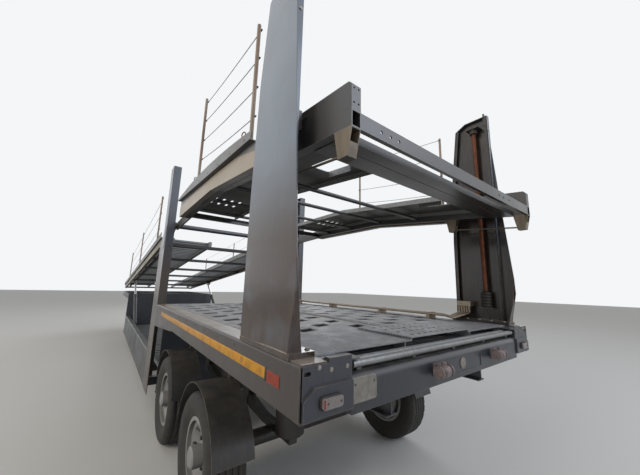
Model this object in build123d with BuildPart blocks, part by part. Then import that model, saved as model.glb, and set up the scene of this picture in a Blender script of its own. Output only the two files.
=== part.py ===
from build123d import *
from math import atan2, cos, degrees, hypot, radians, sin, sqrt, tan
import os

os.makedirs("parts", exist_ok=True)

# Two-deck car transporter semi-trailer, parked on its wheels and landing legs.
# X points forward, Y to the left, Z up. Millimetres.
# Lengths called "ahead" are measured forward from the rear face of the rear beam.

# Overall
overall_width = 2550
half_width = overall_width / 2
lens_stand = 3
side_face = half_width - lens_stand
neck_front = 13200
platform_overhang = 160
centre_ahead = (neck_front - platform_overhang) / 2
rear_x = -centre_ahead
sheet = 8
thin_sheet = 5
bend_radius = 16
turning_fit = 0.1
seat_gap = 0.3
moving_gap = 10

# Rear deck over the wheels
deck_top = 1450
sill_depth = 220
sill_bottom = deck_top - sill_depth
sill_flange = 140
sill_lip = 60
sill_rib_pitch = 620
sill_rib_depth = 90
arch_break = 2570
arch_drop = 85
beam_top = 1375
beam_bottom = 1205
beam_depth = 120
beam_radius = 45
recess_depth = 4
recess_left = 40
recess_right = -300
recess_low = 1235
recess_high = 1322
corner_width = 271
corner_emboss = 12
emboss_rise = 84
emboss_rise_outer = 43
emboss_slant = 58
corner_slot_length = 36
corner_slot_height = 18
corner_slot_inset = 24
corner_slot_drop = 30
corner_slot_depth = 20
upstand_width = 132
upstand_height = 11
upstand_depth = 60
tab_length = 110
tab_slot = 34
rail_y = 560
rail_width = 90
rail_bottom = 1060
member_height = 70
member_width = 60
member_pitch = 480
member_first = 200
track_start = 600
track_gap = 2
track_inner = 60
track_outer = side_face - sill_flange - thin_sheet
track_fold = 45
cutout_length = 112
cutout_width = 165
cutout_slant = 42
cutout_pitch_x = 325
cutout_pitch_y = 255
cutout_columns = 4
cutout_margin_x = 150
cutout_margin_y = 145
apron_panel_left = 353
apron_panel_right = -390
apron_panel_rise = 14
small_hole = 30
small_pitch_x = 112
small_pitch_y = 76
small_rows = 4
small_columns = 8
notch_width = 10
notch_depth = 14
notch_pitch = 24
stiffener_inner = 420
stiffener_outer = 1000

# Twin tubes above the rear beam
hook_tube_radius = 19
hook_tube_height = 1408
hook_tube_spacing = 52
hook_tube_first = 29
hook_tube_half = 960
hook_bracket = 30
hook_bracket_pitch = 450

# Pipes, couplings and lamps of the rear end
pipe_count = 5
pipe_y = 975
pipe_pitch = 26
pipe_height = 1500
pipe_dip = 20
pipe_lift = 30
pipe_radius = 11
pipe_bend = 20
pipe_turn = 65
pipe_step = 26
pipe_post_y = 1190
pipe_end_ahead = 470
valve_low = 1600
valve_height = 50
pipe_front = 3700
pipe_clips = (800, 1500, 2500, 3500)
clip_length = 40
coupling_ys = (289, -504)
coupling_height = 1295
coupling_reach = 50
coupling_radius = 35
coupling_neck = 19
coupling_half = 62
coupling_stub = 12
coupling_stub_length = 28
coupling_knob = 13
coupling_knob_top = 1349
coupling_foot = 72
coupling_flange = 11
coupling_round = 8
lamp_inner = 1063
lamp_outer = 1172
lamp_low = 1273
lamp_high = 1317
lamp_depth = 20
lamp_corner = 12
marker_ahead = 150
marker_length = 120
marker_low = 1322
marker_high = 1374

# Well between the wheels and the neck
well_rear = 3800
well_front = 9800
well_sill_bottom = 220
well_sill_depth = 505
well_sill_top = well_sill_bottom + well_sill_depth
well_sill_width = 90
well_floor = 430
well_member_height = 110
well_member_width = 80
well_member_pitch = 740
well_member_first = 160
well_track_inner = 420
well_track_outer = 1080
slat_width = 55
slat_height = 30
slat_pitch = 160
slat_drop = 5
track_edge = 45
wall_rib_pitch = 380
wall_rib = 60

# Neck and kingpin
neck_bottom = 1180
neck_top = 1400
neck_side_depth = 160
neck_side_width = 60
neck_corner = 320
neck_beam_width = 110
neck_beam_y = 560
neck_beam_web = 12
neck_beam_flange = 16
neck_knee = 480
neck_member_pitch = 540
riser_depth = 60
neck_plate_length = 1900
neck_plate_margin = 150
plate_thickness = 10
kingpin_setback = 1200
kingpin_ahead = neck_front - kingpin_setback
kingpin_shoulder_radius = 36.5
kingpin_neck_radius = 25.4
kingpin_shoulder = 35
kingpin_neck = 35
kingpin_flange = 14
kingpin_head_radius = 95
kingpin_head = 16
leg_ahead = 10450
leg_y = 760
leg_outer = 120
leg_inner = 96
leg_split = 620
leg_bracket = 60
leg_shaft_radius = 20
leg_shaft_height = 1040
leg_gearbox = 150
brace_reach = 420
brace_width = 50
foot_length = 300
foot_width = 260
foot_thickness = 20
foot_ankle = 70

# Running gear
tyre_radius = 448
tyre_width = 285
tyre_outer_face = 1240
wheel_y = tyre_outer_face - tyre_width / 2
rim_radius = 252
rim_width = 220
rim_wall = 10
rim_flange = 18
rim_well_depth = 30
rim_well_width = 80
tyre_shoulder = 40
tyre_crown = 10
disc_offset = 78
disc_thickness = 12
disc_dish = 42
disc_shoulder = 205
disc_foot = 150
hand_hole_radius = 20
hand_hole_count = 8
hand_hole_sides = 8
hand_hole_shift = 5
hub_radius = 95
hub_nose_end = 150
hub_nose_taper = 18
drum_radius = 190
drum_width = 140
drum_lip = 12
axle_radius = 63
axle_half = 920
stub_half = 1195
stub_radius = 45
guard_gap = 72
guard_sheet = 6
guard_rise = 130
stalk_width = 40
axle_aheads = {"rear": 1500, "front": 2860}
arm_pivot_forward = 500
arm_pivot_height = 600
arm_width = 70
arm_height = 60
arm_eye_radius = 52
arm_tail = 60
spring_back = 330
spring_radius = 120
spring_plate = 12
spring_waist = 14
hanger_sheet = 12
hanger_half = 130
hanger_foot_half = 60
arm_pin_radius = 22

# Posts
post_top = 3700
post_depth = 112
post_rear = 92
post_front_foot = 616
post_front_head = 500
post_lip = 42
post_chamfer_length = 110
post_chamfer_drop = 70
post_foot_height = 35
post_lip_low = 1700
guide_offset = 150
guide_front = 440
guide_low = 1850
guide_width = 40
guide_depth = 30
spindle_ahead = 300
spindle_y = 1210
spindle_radius = 24
bearing_radius = 40
bearing_length = 60
bearing_drop = 185
shelf_half = 70
gearbox_radius = 53
gearbox_rise = 150
gearbox_height = 150
gearbox_ribs = 4
gearbox_rib = 14
gearbox_waist = 6
mid_post_length = 220
mid_post_foot_length = 450
mid_post_rear = well_rear
mid_post_front = mid_post_rear + mid_post_length
mid_post_flare = mid_post_rear + mid_post_foot_length
mid_post_top = 3620
mid_post_depth = 112
mid_flare_low = 2350
mid_flare_high = 2560
gusset_inset = 60
hinge_boss = 24
hinge_boss_radius = 75

# Upper rear platform, at rest dipped at its rear end. Its parts lie at heights above the line
# of the side beams' undersides, which bends at the kink.
hinge_ahead = mid_post_rear + mid_post_length / 2
hinge_height = 2665
hinge_radius = 38
kink_ahead = 1700
platform_bottom = 2645
platform_slope = 6.0
platform_front = 3103
side_beam_outer = 1235
side_beam_width = 60
side_beam_rear = 650
side_beam_tops = ((650, 112), (1030, 156), (1530, 144), (2400, 145), (3103, 137))
tail_outer = side_face - post_depth - moving_gap
tail_width = 58
tail_inner = tail_outer - tail_width
tail_rear = -platform_overhang
tail_front = 600
tail_bottom = 99
tail_height = 148
tail_chamfer = 20
tail_hole_radius = 6
rail_low = 17
rail_pocket = 120
outrigger_aheads = (700, 1500, 2300, 3040)
outrigger_width = 60
rear_channel_depth = 27
rear_channel_hole = 9
rear_channel_holes = (949, 879, 811, -455, -540, -655)
tail_plates = ((-45, 96, 58), (57, 138, 82))
tail_plate_low = 12
cross_tube_aheads = (1000, 1600, 2200, 2750)
cross_tube_radius = 20
track_rest = 82
front_cross_width = 60
platform_track_low = 130
platform_track_start = 186
platform_track_inner = 470
slot_length = 290
slot_width = 30
slot_pitch = 97
slot_count = 4
slot_ahead = 2424
slot_y = 852
dot_radius = 6
dot_pitch_x = 38
dot_pitch_y = 110
dot_columns = 6
dot_rows = 3
dot_ahead = 1605
dot_y = 755
bay_start = 405
bay_end = 655
bay_outer = 795
bay_inner = 620
walk_inner = 1096
walk_start = 700
walk_floor_rear = 2731
walk_floor_front = 2861
walk_crest_ahead = 2300
walk_crest_height = 2908
walk_arch_radius = 11000
walk_sheet = 6
walk_skirt_inset = 42
stanchion_radius = 14
stanchion_height = 925
rear_stanchion_tops = ((729, 3669), (2146, 3870))
bracket_length = 120
bracket_foot = 62
bracket_drop = 132
bracket_front = 500
tie_radius = 7
tie_drop = 35
nut_pin_radius = 16
nut_length = 150
nut_width = 90
nut_height = 120
nut_slot_reach = 82
nut_slot_play = 8
pin_end_gap = 6
arm_inner = tail_inner
arm_thickness = 24
arm_eye = 60

# Upper front platform, at rest lowered onto the neck
front_slope = 5.84
front_arm_length = 390
front_rear_end = hinge_ahead + front_arm_length
front_end = 12850
front_top_at_hinge = 2640
front_beam_height = 210
front_kerb_height = 90
front_beam_outer = 1245
front_beam_width = 60
front_arm_gap = 12
front_track_drop = 150
front_track_inner = 420
front_track_outer = 1100
front_track_edge = 50
front_track_depth = 90
front_slat_pitch = 150
front_member_count = 7
front_member_width = 60
front_member_depth = 50
front_walk_inner = 1110
front_stanchion_aheads = (4900, 7800, 10800)

# Lifting cylinders of the front platform
lift_base_ahead = 8300
lift_base_height = 640
lift_eye_ahead = 9900
lift_eye_drop = 40
lift_y = 1130
lift_barrel_radius = 45
lift_rod_radius = 25
lift_barrel_length = 1250
lift_bottom_wall = 80
lift_rod_inset = 20
lift_head_length = 60
lift_head_radius = 52
lift_eye_radius = 42
lift_pin_radius = 20
rod_eye_half = 32
eye_gap = 8
ear_half_top = 110
ear_half_foot = 45
ear_overlap = 20


def side_plane(y):
    """Upright plane along the trailer: sketch in (ahead, height), extrude towards -Y."""
    return Plane(origin=(rear_x, y, 0), x_dir=(1, 0, 0), z_dir=(0, -1, 0))


def cross_plane(ahead):
    """Upright plane across the trailer: sketch in (y, height), extrude forward."""
    return Plane(origin=(rear_x + ahead, 0, 0), x_dir=(0, 1, 0), z_dir=(1, 0, 0))


def level_plane(height):
    """Level plane: sketch in (ahead, y), extrude upward."""
    return Plane(origin=(rear_x, 0, height), x_dir=(1, 0, 0), z_dir=(0, 0, 1))


def bar(ahead, y, height, mode=Mode.ADD):
    """Straight bar that fills three spans, each given as (from, to)."""
    middle = (rear_x + sum(ahead) / 2, sum(y) / 2, sum(height) / 2)
    with Locations(middle):
        Box(abs(ahead[1] - ahead[0]), abs(y[1] - y[0]), abs(height[1] - height[0]), mode=mode)


def plate(points, y, thickness, mode=Mode.ADD):
    """Upright plate along the trailer, its outline in (ahead, height), inward from y."""
    with BuildSketch(side_plane(y)) as outline:
        Polygon(*points, align=None)
    extrude(outline.sketch, amount=thickness, mode=mode)


def lifted(points, rise):
    """The same line of points, moved up."""
    return [(x, z + rise) for x, z in points]


def band(points, depth):
    """Closed outline of the band of a given depth under a line of points."""
    return list(points) + lifted(points, -depth)[::-1]


def channel_beam(top, bottom, outer, width, wall):
    """Channel along the trailer: a web outside, and a flange inward along each edge."""
    plate(list(top) + list(bottom)[::-1], outer, wall)
    plate(band(top, wall), outer, width)
    plate(band(lifted(bottom, wall), wall), outer, width)


def folded(plane, points, wall, length):
    """Folded sheet: the outside line of its section, thickened to the left, extruded."""
    with BuildSketch(plane) as outline:
        with BuildLine():
            FilletPolyline(*points, radius=bend_radius)
            offset(amount=wall, side=Side.LEFT)
        make_face()
    extrude(outline.sketch, amount=length)


def rod(ahead, height, radius, left, right, mode=Mode.ADD):
    """Round bar across the trailer from y = left to y = right."""
    with BuildSketch(side_plane(left)) as outline:
        with Locations((ahead, height)):
            Circle(radius)
    extrude(outline.sketch, amount=left - right, mode=mode)


def line_height(x, through, slope):
    """Height at x of a line through a point, its slope in degrees."""
    return through[1] + (x - through[0]) * tan(radians(slope))


def platform_line(x):
    """Height of the underside of the upper rear platform's side beams."""
    if x >= kink_ahead:
        return platform_bottom
    return line_height(x, (kink_ahead, platform_bottom), platform_slope)


def along_platform(start, end, rise):
    """Line from start to end at a rise above the platform line, with its kink."""
    aheads = [start] + ([kink_ahead] if start < kink_ahead < end else []) + [end]
    return [(x, platform_line(x) + rise) for x in aheads]


def front_line(x):
    """Height of the top edge of the upper front platform."""
    return line_height(x, (hinge_ahead, front_top_at_hinge), -front_slope)


def along_front(start, end, rise):
    """Line from start to end at a rise above the front platform's top edge."""
    return [(start, front_line(start) + rise), (end, front_line(end) + rise)]


def side_top_at(x):
    """Height of the top edge of the side beam between its points."""
    points = [(a, platform_line(a) + rise) for a, rise in side_beam_tops]
    for (x0, z0), (x1, z1) in zip(points, points[1:]):
        if x <= x1:
            return z0 + (x - x0) * (z1 - z0) / (x1 - x0)


def walk_floor(x):
    """Height of the underside of the rear walkway."""
    share = (x - walk_start) / (platform_front - walk_start)
    return walk_floor_rear + share * (walk_floor_front - walk_floor_rear)


def walk_crest(x):
    """Height of the arched top edge of the rear walkway's kerb."""
    return walk_crest_height - walk_arch_radius + sqrt(walk_arch_radius ** 2 - (x - walk_crest_ahead) ** 2)


# Rear side sills: folded channels whose web drops ahead of the wheel arch, with ribs inside
arch_foot = sill_bottom - arch_drop
with BuildPart() as rear_sills:
    lip_end = (side_face - sill_lip, sill_bottom)
    flange_end = (side_face - sill_flange, deck_top)
    folded(cross_plane(0), [lip_end, (side_face, sill_bottom), (side_face, deck_top), flange_end], sheet,
           arch_break)
    folded(cross_plane(arch_break), [(side_face, sill_bottom), (side_face, deck_top), flange_end], sheet,
           well_rear - arch_break)
    plate([(arch_break, sill_bottom), (well_rear, arch_foot), (well_rear, sill_bottom + sheet),
           (arch_break, sill_bottom + sheet)], side_face, sheet)
    plate([(arch_break, sill_bottom), (well_rear, arch_foot), (well_rear, arch_foot + sheet),
           (arch_break, sill_bottom + sheet)], side_face, sill_lip)
    for number in range(int((well_rear - beam_depth) // sill_rib_pitch)):
        x = beam_depth + sill_rib_pitch * (number + 0.5)
        bar((x, x + sheet), (side_face - sill_rib_depth, side_face - sheet),
            (deck_top - sheet - member_height, deck_top - sheet))
    bar((marker_ahead, marker_ahead + marker_length), (side_face - sheet, side_face),
        (marker_low, marker_high), mode=Mode.SUBTRACT)
    mirror(about=Plane.XZ)
rear_sills.part.label = "rear_sills"
export_step(rear_sills.part, "parts/rear_sills.step")

with BuildPart() as side_markers:
    bar((marker_ahead + turning_fit, marker_ahead + marker_length - turning_fit),
        (side_face - sheet, half_width), (marker_low + turning_fit, marker_high - turning_fit))
    fillet(side_markers.faces().sort_by(Axis.Y)[-1].edges(), lens_stand - 1)
    mirror(about=Plane.XZ)
side_markers.part.label = "side_markers"
export_step(side_markers.part, "parts/side_markers.step")

# Rear beam with a rounded top edge and a shallow recess
corner_outer = side_face - bend_radius
corner_inner = corner_outer - corner_width
with BuildPart() as rear_beam:
    with BuildSketch(side_plane(corner_inner)) as beam_outline:
        with BuildLine():
            Polyline((beam_radius, beam_top), (beam_depth, beam_top), (beam_depth, beam_bottom),
                     (0, beam_bottom), (0, beam_top - beam_radius))
            RadiusArc((0, beam_top - beam_radius), (beam_radius, beam_top), beam_radius)
        make_face()
    extrude(beam_outline.sketch, amount=2 * corner_inner)
    bar((0, recess_depth), (recess_right, recess_left), (recess_low, recess_high), mode=Mode.SUBTRACT)
rear_beam.part.label = "rear_beam"
export_step(rear_beam.part, "parts/rear_beam.step")

# Corner boxes: an embossed lower panel, a slot, the upstand beside the beam, and a tab with a slot
with BuildPart() as corner_boxes:
    box_top = deck_top - sheet
    bar((0, beam_depth), (corner_inner, corner_outer), (sill_bottom + sheet, box_top))
    emboss_top = sill_bottom + emboss_rise + emboss_rise_outer
    with BuildSketch(cross_plane(-corner_emboss)) as emboss:
        Polygon((corner_inner, sill_bottom + sheet), (corner_outer, sill_bottom + sheet),
                (corner_outer, sill_bottom + emboss_rise), (corner_outer - emboss_slant, emboss_top),
                (corner_inner, emboss_top), align=None)
    extrude(emboss.sketch, amount=corner_emboss)
    with BuildSketch(cross_plane(0)) as slot_outline:
        with Locations((corner_outer - corner_slot_inset, box_top - corner_slot_drop)):
            SlotOverall(corner_slot_length, corner_slot_height)
    extrude(slot_outline.sketch, amount=corner_slot_depth, mode=Mode.SUBTRACT)
    upstand_top = deck_top + upstand_height
    upstand_side = corner_inner + upstand_width
    bar((0, sheet), (corner_inner, upstand_side), (box_top, upstand_top))
    plate([(0, box_top), (upstand_depth, box_top), (upstand_depth / 2, upstand_top), (0, upstand_top)],
          upstand_side, sheet)
    with BuildSketch(level_plane(box_top - thin_sheet)) as tab:
        with Locations((tab_length / 2, corner_inner - tab_slot + sheet)):
            RectangleRounded(tab_length, 2 * tab_slot, bend_radius)
            SlotOverall(tab_slot, tab_slot / 2, mode=Mode.SUBTRACT)
    extrude(tab.sketch, amount=thin_sheet)
    mirror(about=Plane.XZ)
corner_boxes.part.label = "corner_boxes"
export_step(corner_boxes.part, "parts/corner_boxes.step")

# Deck tracks over the wheels, folded along both sides and cut with staggered slanting openings
track_end = well_rear - track_gap
with BuildPart() as deck_tracks:
    low_edge = deck_top - track_fold
    folded(cross_plane(track_start), [(track_outer, low_edge), (track_outer, deck_top),
                                      (track_inner, deck_top), (track_inner, low_edge)],
           sheet, track_end - track_start)
    rows = int((track_end - track_start - cutout_margin_x) // cutout_pitch_x)
    half_l = cutout_length / 2
    half_w = cutout_width / 2
    lean = cutout_slant / 2
    with BuildSketch(level_plane(deck_top - sheet)):
        for column in range(cutout_columns):
            y = track_inner + cutout_margin_y + column * cutout_pitch_y
            for row in range(rows):
                x = track_start + cutout_margin_x + (row + (column % 2) / 2) * cutout_pitch_x
                Polygon((x - half_l - lean, y + half_w), (x + half_l - lean, y + half_w),
                        (x + half_l + lean, y - half_w), (x - half_l + lean, y - half_w), align=None)
    extrude(amount=sheet, mode=Mode.SUBTRACT)
    mirror(about=Plane.XZ)
deck_tracks.part.label = "deck_tracks"
export_step(deck_tracks.part, "parts/deck_tracks.step")

# Rear apron: a plate behind the tracks with a raised panel of square holes and a notched edge
apron_end = track_start - track_gap
with BuildPart() as rear_apron:
    bar((beam_depth, apron_end), (-track_outer, track_outer), (deck_top - sheet, deck_top))
    bar((beam_depth, apron_end), (apron_panel_right, apron_panel_left),
        (deck_top - sheet, deck_top + apron_panel_rise))
    bar((beam_depth, apron_end), (apron_panel_right + thin_sheet, apron_panel_left - thin_sheet),
        (deck_top - sheet, deck_top + apron_panel_rise - thin_sheet), mode=Mode.SUBTRACT)
    panel_middle = (apron_panel_left + apron_panel_right) / 2
    with BuildSketch(level_plane(deck_top)):
        with Locations(((beam_depth + apron_end) / 2, panel_middle)):
            with GridLocations(small_pitch_x, small_pitch_y, small_rows, small_columns):
                Rectangle(small_hole, small_hole)
    extrude(amount=apron_panel_rise, mode=Mode.SUBTRACT)
    for y in (-stiffener_outer, -stiffener_inner, stiffener_inner, stiffener_outer):
        bar((beam_depth, apron_end), (y - sheet / 2, y + sheet / 2), (deck_top - track_fold, deck_top - sheet))
    for number in range(int((apron_end - beam_depth) // notch_pitch)):
        x = beam_depth + notch_pitch * (number + 0.5)
        bar((x, x + notch_width), (apron_panel_left - thin_sheet, apron_panel_left),
            (deck_top + apron_panel_rise - notch_depth, deck_top + apron_panel_rise), mode=Mode.SUBTRACT)
rear_apron.part.label = "rear_apron"
export_step(rear_apron.part, "parts/rear_apron.step")

# Cross members under the rear deck: channels that open downward
member_top = deck_top - track_fold
rail_high = member_top - member_height
member_half = side_face - sill_rib_depth
with BuildPart() as deck_members:
    for number in range(int((track_end - member_first - member_width) // member_pitch) + 1):
        x = member_first + number * member_pitch
        bar((x, x + member_width), (-member_half, member_half), (rail_high, member_top))
        bar((x + thin_sheet, x + member_width - thin_sheet), (-member_half, member_half),
            (rail_high, member_top - thin_sheet), mode=Mode.SUBTRACT)
deck_members.part.label = "deck_members"
export_step(deck_members.part, "parts/deck_members.step")

# Two chassis rails of I section
with BuildPart() as chassis_rails:
    rail_middle = (rail_bottom + rail_high) / 2
    with BuildSketch(cross_plane(beam_depth)):
        with Locations((rail_y, rail_middle)):
            Rectangle(rail_width, rail_high - rail_bottom)
        for side in (-1, 1):
            with Locations((rail_y + side * (rail_width + sheet) / 4, rail_middle)):
                Rectangle((rail_width - sheet) / 2, rail_high - rail_bottom - 2 * sheet, mode=Mode.SUBTRACT)
    extrude(amount=well_rear - beam_depth)
    mirror(about=Plane.XZ)
chassis_rails.part.label = "chassis_rails"
export_step(chassis_rails.part, "parts/chassis_rails.step")

# Twin tubes above the rear beam, on shaped brackets, where the loading ramps hook on
with BuildPart() as ramp_tubes:
    tube_aheads = (hook_tube_first, hook_tube_first + hook_tube_spacing)
    for x in tube_aheads:
        rod(x, hook_tube_height, hook_tube_radius, hook_tube_half, -hook_tube_half)
    brackets = int(hook_tube_half // hook_bracket_pitch)
    for number in range(-brackets, brackets + 1):
        plate([(tube_aheads[0] + hook_tube_radius / 2, beam_top), (beam_depth, beam_top),
               (tube_aheads[1] + hook_tube_radius / 2, hook_tube_height),
               (tube_aheads[0], hook_tube_height)],
              number * hook_bracket_pitch + hook_bracket / 2, hook_bracket)
ramp_tubes.part.label = "ramp_tubes"
export_step(ramp_tubes.part, "parts/ramp_tubes.step")

# Well between the wheels and the neck: folded side sills, cross members, ladder tracks, rear wall
well_inner = side_face - sheet
with BuildPart() as well_sills:
    inner_edge = side_face - well_sill_width
    folded(cross_plane(mid_post_flare), [(inner_edge, well_sill_bottom), (side_face, well_sill_bottom),
                                         (side_face, well_sill_top), (inner_edge, well_sill_top)],
           sheet, well_front - mid_post_flare)
    rib_start = well_rear + well_member_first + well_member_pitch + (well_member_width + well_member_pitch) / 2
    for number in range(int((well_front - rib_start) // well_member_pitch) + 1):
        x = rib_start + number * well_member_pitch
        bar((x, x + sheet), (inner_edge + bend_radius, well_inner),
            (well_sill_bottom + sheet, well_sill_top - sheet))
    mirror(about=Plane.XZ)
well_sills.part.label = "well_sills"
export_step(well_sills.part, "parts/well_sills.step")

with BuildPart() as well_members:
    high = well_floor - slat_height
    low = high - well_member_height
    for number in range(int((well_front - well_rear - 2 * well_member_first) // well_member_pitch) + 1):
        x = well_rear + well_member_first + number * well_member_pitch
        bar((x, x + well_member_width), (-well_inner, well_inner), (low, high))
        bar((x + sheet, x + well_member_width - sheet), (-well_inner, well_inner), (low, high - sheet),
            mode=Mode.SUBTRACT)
well_members.part.label = "well_members"
export_step(well_members.part, "parts/well_members.step")

well_track_start = well_rear + sheet + wall_rib + track_gap
with BuildPart() as well_tracks:
    for y in (well_track_inner, well_track_outer - track_edge):
        bar((well_track_start, well_front), (y, y + track_edge), (well_floor - slat_height, well_floor))
    for number in range(int((well_front - well_track_start) // slat_pitch)):
        x = well_track_start + number * slat_pitch + slat_width
        bar((x, x + slat_width), (well_track_inner, well_track_outer),
            (well_floor - slat_height, well_floor - slat_drop))
    mirror(about=Plane.XZ)
well_tracks.part.label = "well_tracks"
export_step(well_tracks.part, "parts/well_tracks.step")

wall_half = side_face - mid_post_depth - track_gap
with BuildPart() as well_rear_wall:
    wall_top = deck_top - sheet
    bar((well_rear, well_rear + sheet), (-wall_half, wall_half), (well_sill_bottom, wall_top))
    for number in range(-int(wall_half // wall_rib_pitch), int(wall_half // wall_rib_pitch) + 1):
        y = number * wall_rib_pitch
        bar((well_rear, well_rear + sheet + wall_rib), (y, y + sheet), (well_sill_bottom, wall_top))
    for low in (well_sill_bottom, wall_top - sheet):
        bar((well_rear, well_rear + sheet + wall_rib), (-wall_half, wall_half), (low, low + sheet))
well_rear_wall.part.label = "well_rear_wall"
export_step(well_rear_wall.part, "parts/well_rear_wall.step")

# Neck: riser wall, two beams of I section with a curved knee, cross members and the side edges
riser_front = well_front + riser_depth
beam_high = neck_top - member_height
with BuildPart() as neck_frame:
    bar((well_front, well_front + sheet), (-side_face, side_face), (well_sill_bottom, neck_top))
    for number in range(-int(side_face // wall_rib_pitch), int(side_face // wall_rib_pitch) + 1):
        y = number * wall_rib_pitch
        bar((well_front, riser_front), (y - sheet / 2, y + sheet / 2), (well_sill_bottom, beam_high))
    bar((well_front, riser_front), (-side_face, side_face), (well_sill_bottom, well_sill_bottom + sheet))
    for y in (neck_beam_y, -neck_beam_y):
        with BuildSketch(side_plane(y + neck_beam_width / 2)) as beam_outline:
            with BuildLine():
                knee_end = well_front + sheet + neck_knee
                Polyline((knee_end, neck_bottom), (neck_front, neck_bottom), (neck_front, beam_high),
                         (well_front + sheet, beam_high), (well_front + sheet, neck_bottom - neck_knee))
                RadiusArc((well_front + sheet, neck_bottom - neck_knee), (knee_end, neck_bottom), neck_knee)
            make_face()
        extrude(beam_outline.sketch, amount=neck_beam_width)
        recess = (neck_beam_width - neck_beam_web) / 2
        for face_y in (y + neck_beam_width / 2, y - neck_beam_width / 2 + recess):
            bar((well_front + sheet + neck_knee, neck_front - neck_beam_flange), (face_y - recess, face_y),
                (neck_bottom + neck_beam_flange, beam_high - neck_beam_flange), mode=Mode.SUBTRACT)
    with BuildSketch(level_plane(neck_top - neck_side_depth)) as edge_outline:
        Polygon((well_front + sheet, -side_face), (neck_front - neck_corner, -side_face),
                (neck_front, neck_corner - side_face), (neck_front, side_face - neck_corner),
                (neck_front - neck_corner, side_face), (well_front + sheet, side_face), align=None)
        offset(amount=-neck_side_width, mode=Mode.SUBTRACT)
    extrude(edge_outline.sketch, amount=neck_side_depth)
    for number in range(int((neck_front - riser_front - member_width) // neck_member_pitch) + 1):
        x = riser_front + number * neck_member_pitch
        bar((x, x + member_width), (neck_side_width - side_face, side_face - neck_side_width),
            (beam_high, neck_top))
neck_frame.part.label = "neck_frame"
export_step(neck_frame.part, "parts/neck_frame.step")

with BuildPart() as coupling_plate:
    plate_half = neck_beam_y + neck_plate_margin
    bar((neck_front - neck_plate_length, neck_front), (-plate_half, plate_half),
        (neck_bottom - plate_thickness, neck_bottom))
    with BuildSketch(level_plane(neck_bottom - plate_thickness)):
        with Locations((kingpin_ahead, 0)):
            Circle(kingpin_shoulder_radius + seat_gap)
    extrude(amount=plate_thickness, mode=Mode.SUBTRACT)
coupling_plate.part.label = "coupling_plate"
export_step(coupling_plate.part, "parts/coupling_plate.step")

# Kingpin: lower flange, neck, shoulder through the plate, and the head that rests on the plate
with BuildPart() as kingpin:
    height = neck_bottom - plate_thickness - kingpin_shoulder - kingpin_neck - kingpin_flange
    for radius, length in ((kingpin_shoulder_radius, kingpin_flange), (kingpin_neck_radius, kingpin_neck),
                           (kingpin_shoulder_radius, kingpin_shoulder + plate_thickness),
                           (kingpin_head_radius, kingpin_head)):
        with Locations((rear_x + kingpin_ahead, 0, height)):
            Cylinder(radius, length, align=(Align.CENTER, Align.CENTER, Align.MIN))
        height += length
kingpin.part.label = "kingpin"
export_step(kingpin.part, "parts/kingpin.step")

# Landing legs: outer and inner box, ankle and foot, gearbox, cross shaft and braces
with BuildPart() as landing_legs:
    for y, side in ((leg_y, 1), (-leg_y, -1)):
        with Locations((rear_x + leg_ahead, y, (leg_split + beam_high) / 2)):
            Box(leg_outer, leg_outer, beam_high - leg_split)
        with Locations((rear_x + leg_ahead, y, (foot_thickness + foot_ankle + leg_split) / 2)):
            Box(leg_inner, leg_inner, leg_split - foot_thickness - foot_ankle)
        with Locations((rear_x + leg_ahead, y, foot_thickness + foot_ankle / 2)):
            Box(foot_ankle, leg_inner, foot_ankle)
        with Locations((rear_x + leg_ahead, y, foot_thickness / 2)):
            Box(foot_length, foot_width, foot_thickness)
        with Locations((rear_x + leg_ahead, y + side * (leg_outer + leg_bracket) / 2, leg_shaft_height)):
            Box(leg_gearbox, leg_bracket, leg_gearbox)
        brace_low = leg_shaft_height - leg_gearbox
        brace_x = leg_ahead + leg_outer / 2
        plate([(brace_x, brace_low), (brace_x + brace_reach + member_width, beam_high),
               (brace_x + brace_reach, beam_high), (brace_x, brace_low + brace_width)],
              y + brace_width / 2, brace_width)
    rod(leg_ahead, leg_shaft_height, leg_shaft_radius, leg_y, -leg_y)
    beam_face = neck_beam_y + neck_beam_width / 2
    for low, high in ((beam_face, leg_y), (-leg_y, -beam_face)):
        bar((leg_ahead - leg_bracket, leg_ahead + leg_bracket), (low, high),
            (neck_bottom, neck_bottom + leg_bracket))
landing_legs.part.label = "landing_legs"
export_step(landing_legs.part, "parts/landing_legs.step")

# Axles: a tube with a turned stub at each end for the hub, and the arms, hangers and air springs
for place, ahead in axle_aheads.items():
    with BuildPart() as axle:
        rod(ahead, tyre_radius, axle_radius, axle_half, -axle_half)
        rod(ahead, tyre_radius, stub_radius, stub_half, -stub_half)
    axle.part.label = "axle_" + place
    export_step(axle.part, "parts/axle_" + place + ".step")

arm_low = tyre_radius + axle_radius
spring_seat = arm_low + arm_height
with BuildPart() as trailing_arms:
    for ahead in axle_aheads.values():
        pivot = (ahead + arm_pivot_forward, arm_pivot_height)
        tail = ahead - spring_back - arm_tail
        shoulder = ahead + axle_radius + arm_height / 2
        plate([(pivot[0], pivot[1] + arm_eye_radius), (pivot[0], pivot[1] - arm_eye_radius),
               (shoulder, arm_low), (tail, arm_low), (tail, spring_seat), (shoulder, spring_seat)],
              rail_y + arm_width / 2, arm_width)
        rod(pivot[0], pivot[1], arm_eye_radius, rail_y + arm_width / 2, rail_y - arm_width / 2)
        rod(pivot[0], pivot[1], arm_pin_radius + turning_fit, rail_y + arm_width / 2,
            rail_y - arm_width / 2, mode=Mode.SUBTRACT)
    mirror(about=Plane.XZ)
trailing_arms.part.label = "trailing_arms"
export_step(trailing_arms.part, "parts/trailing_arms.step")

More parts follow.
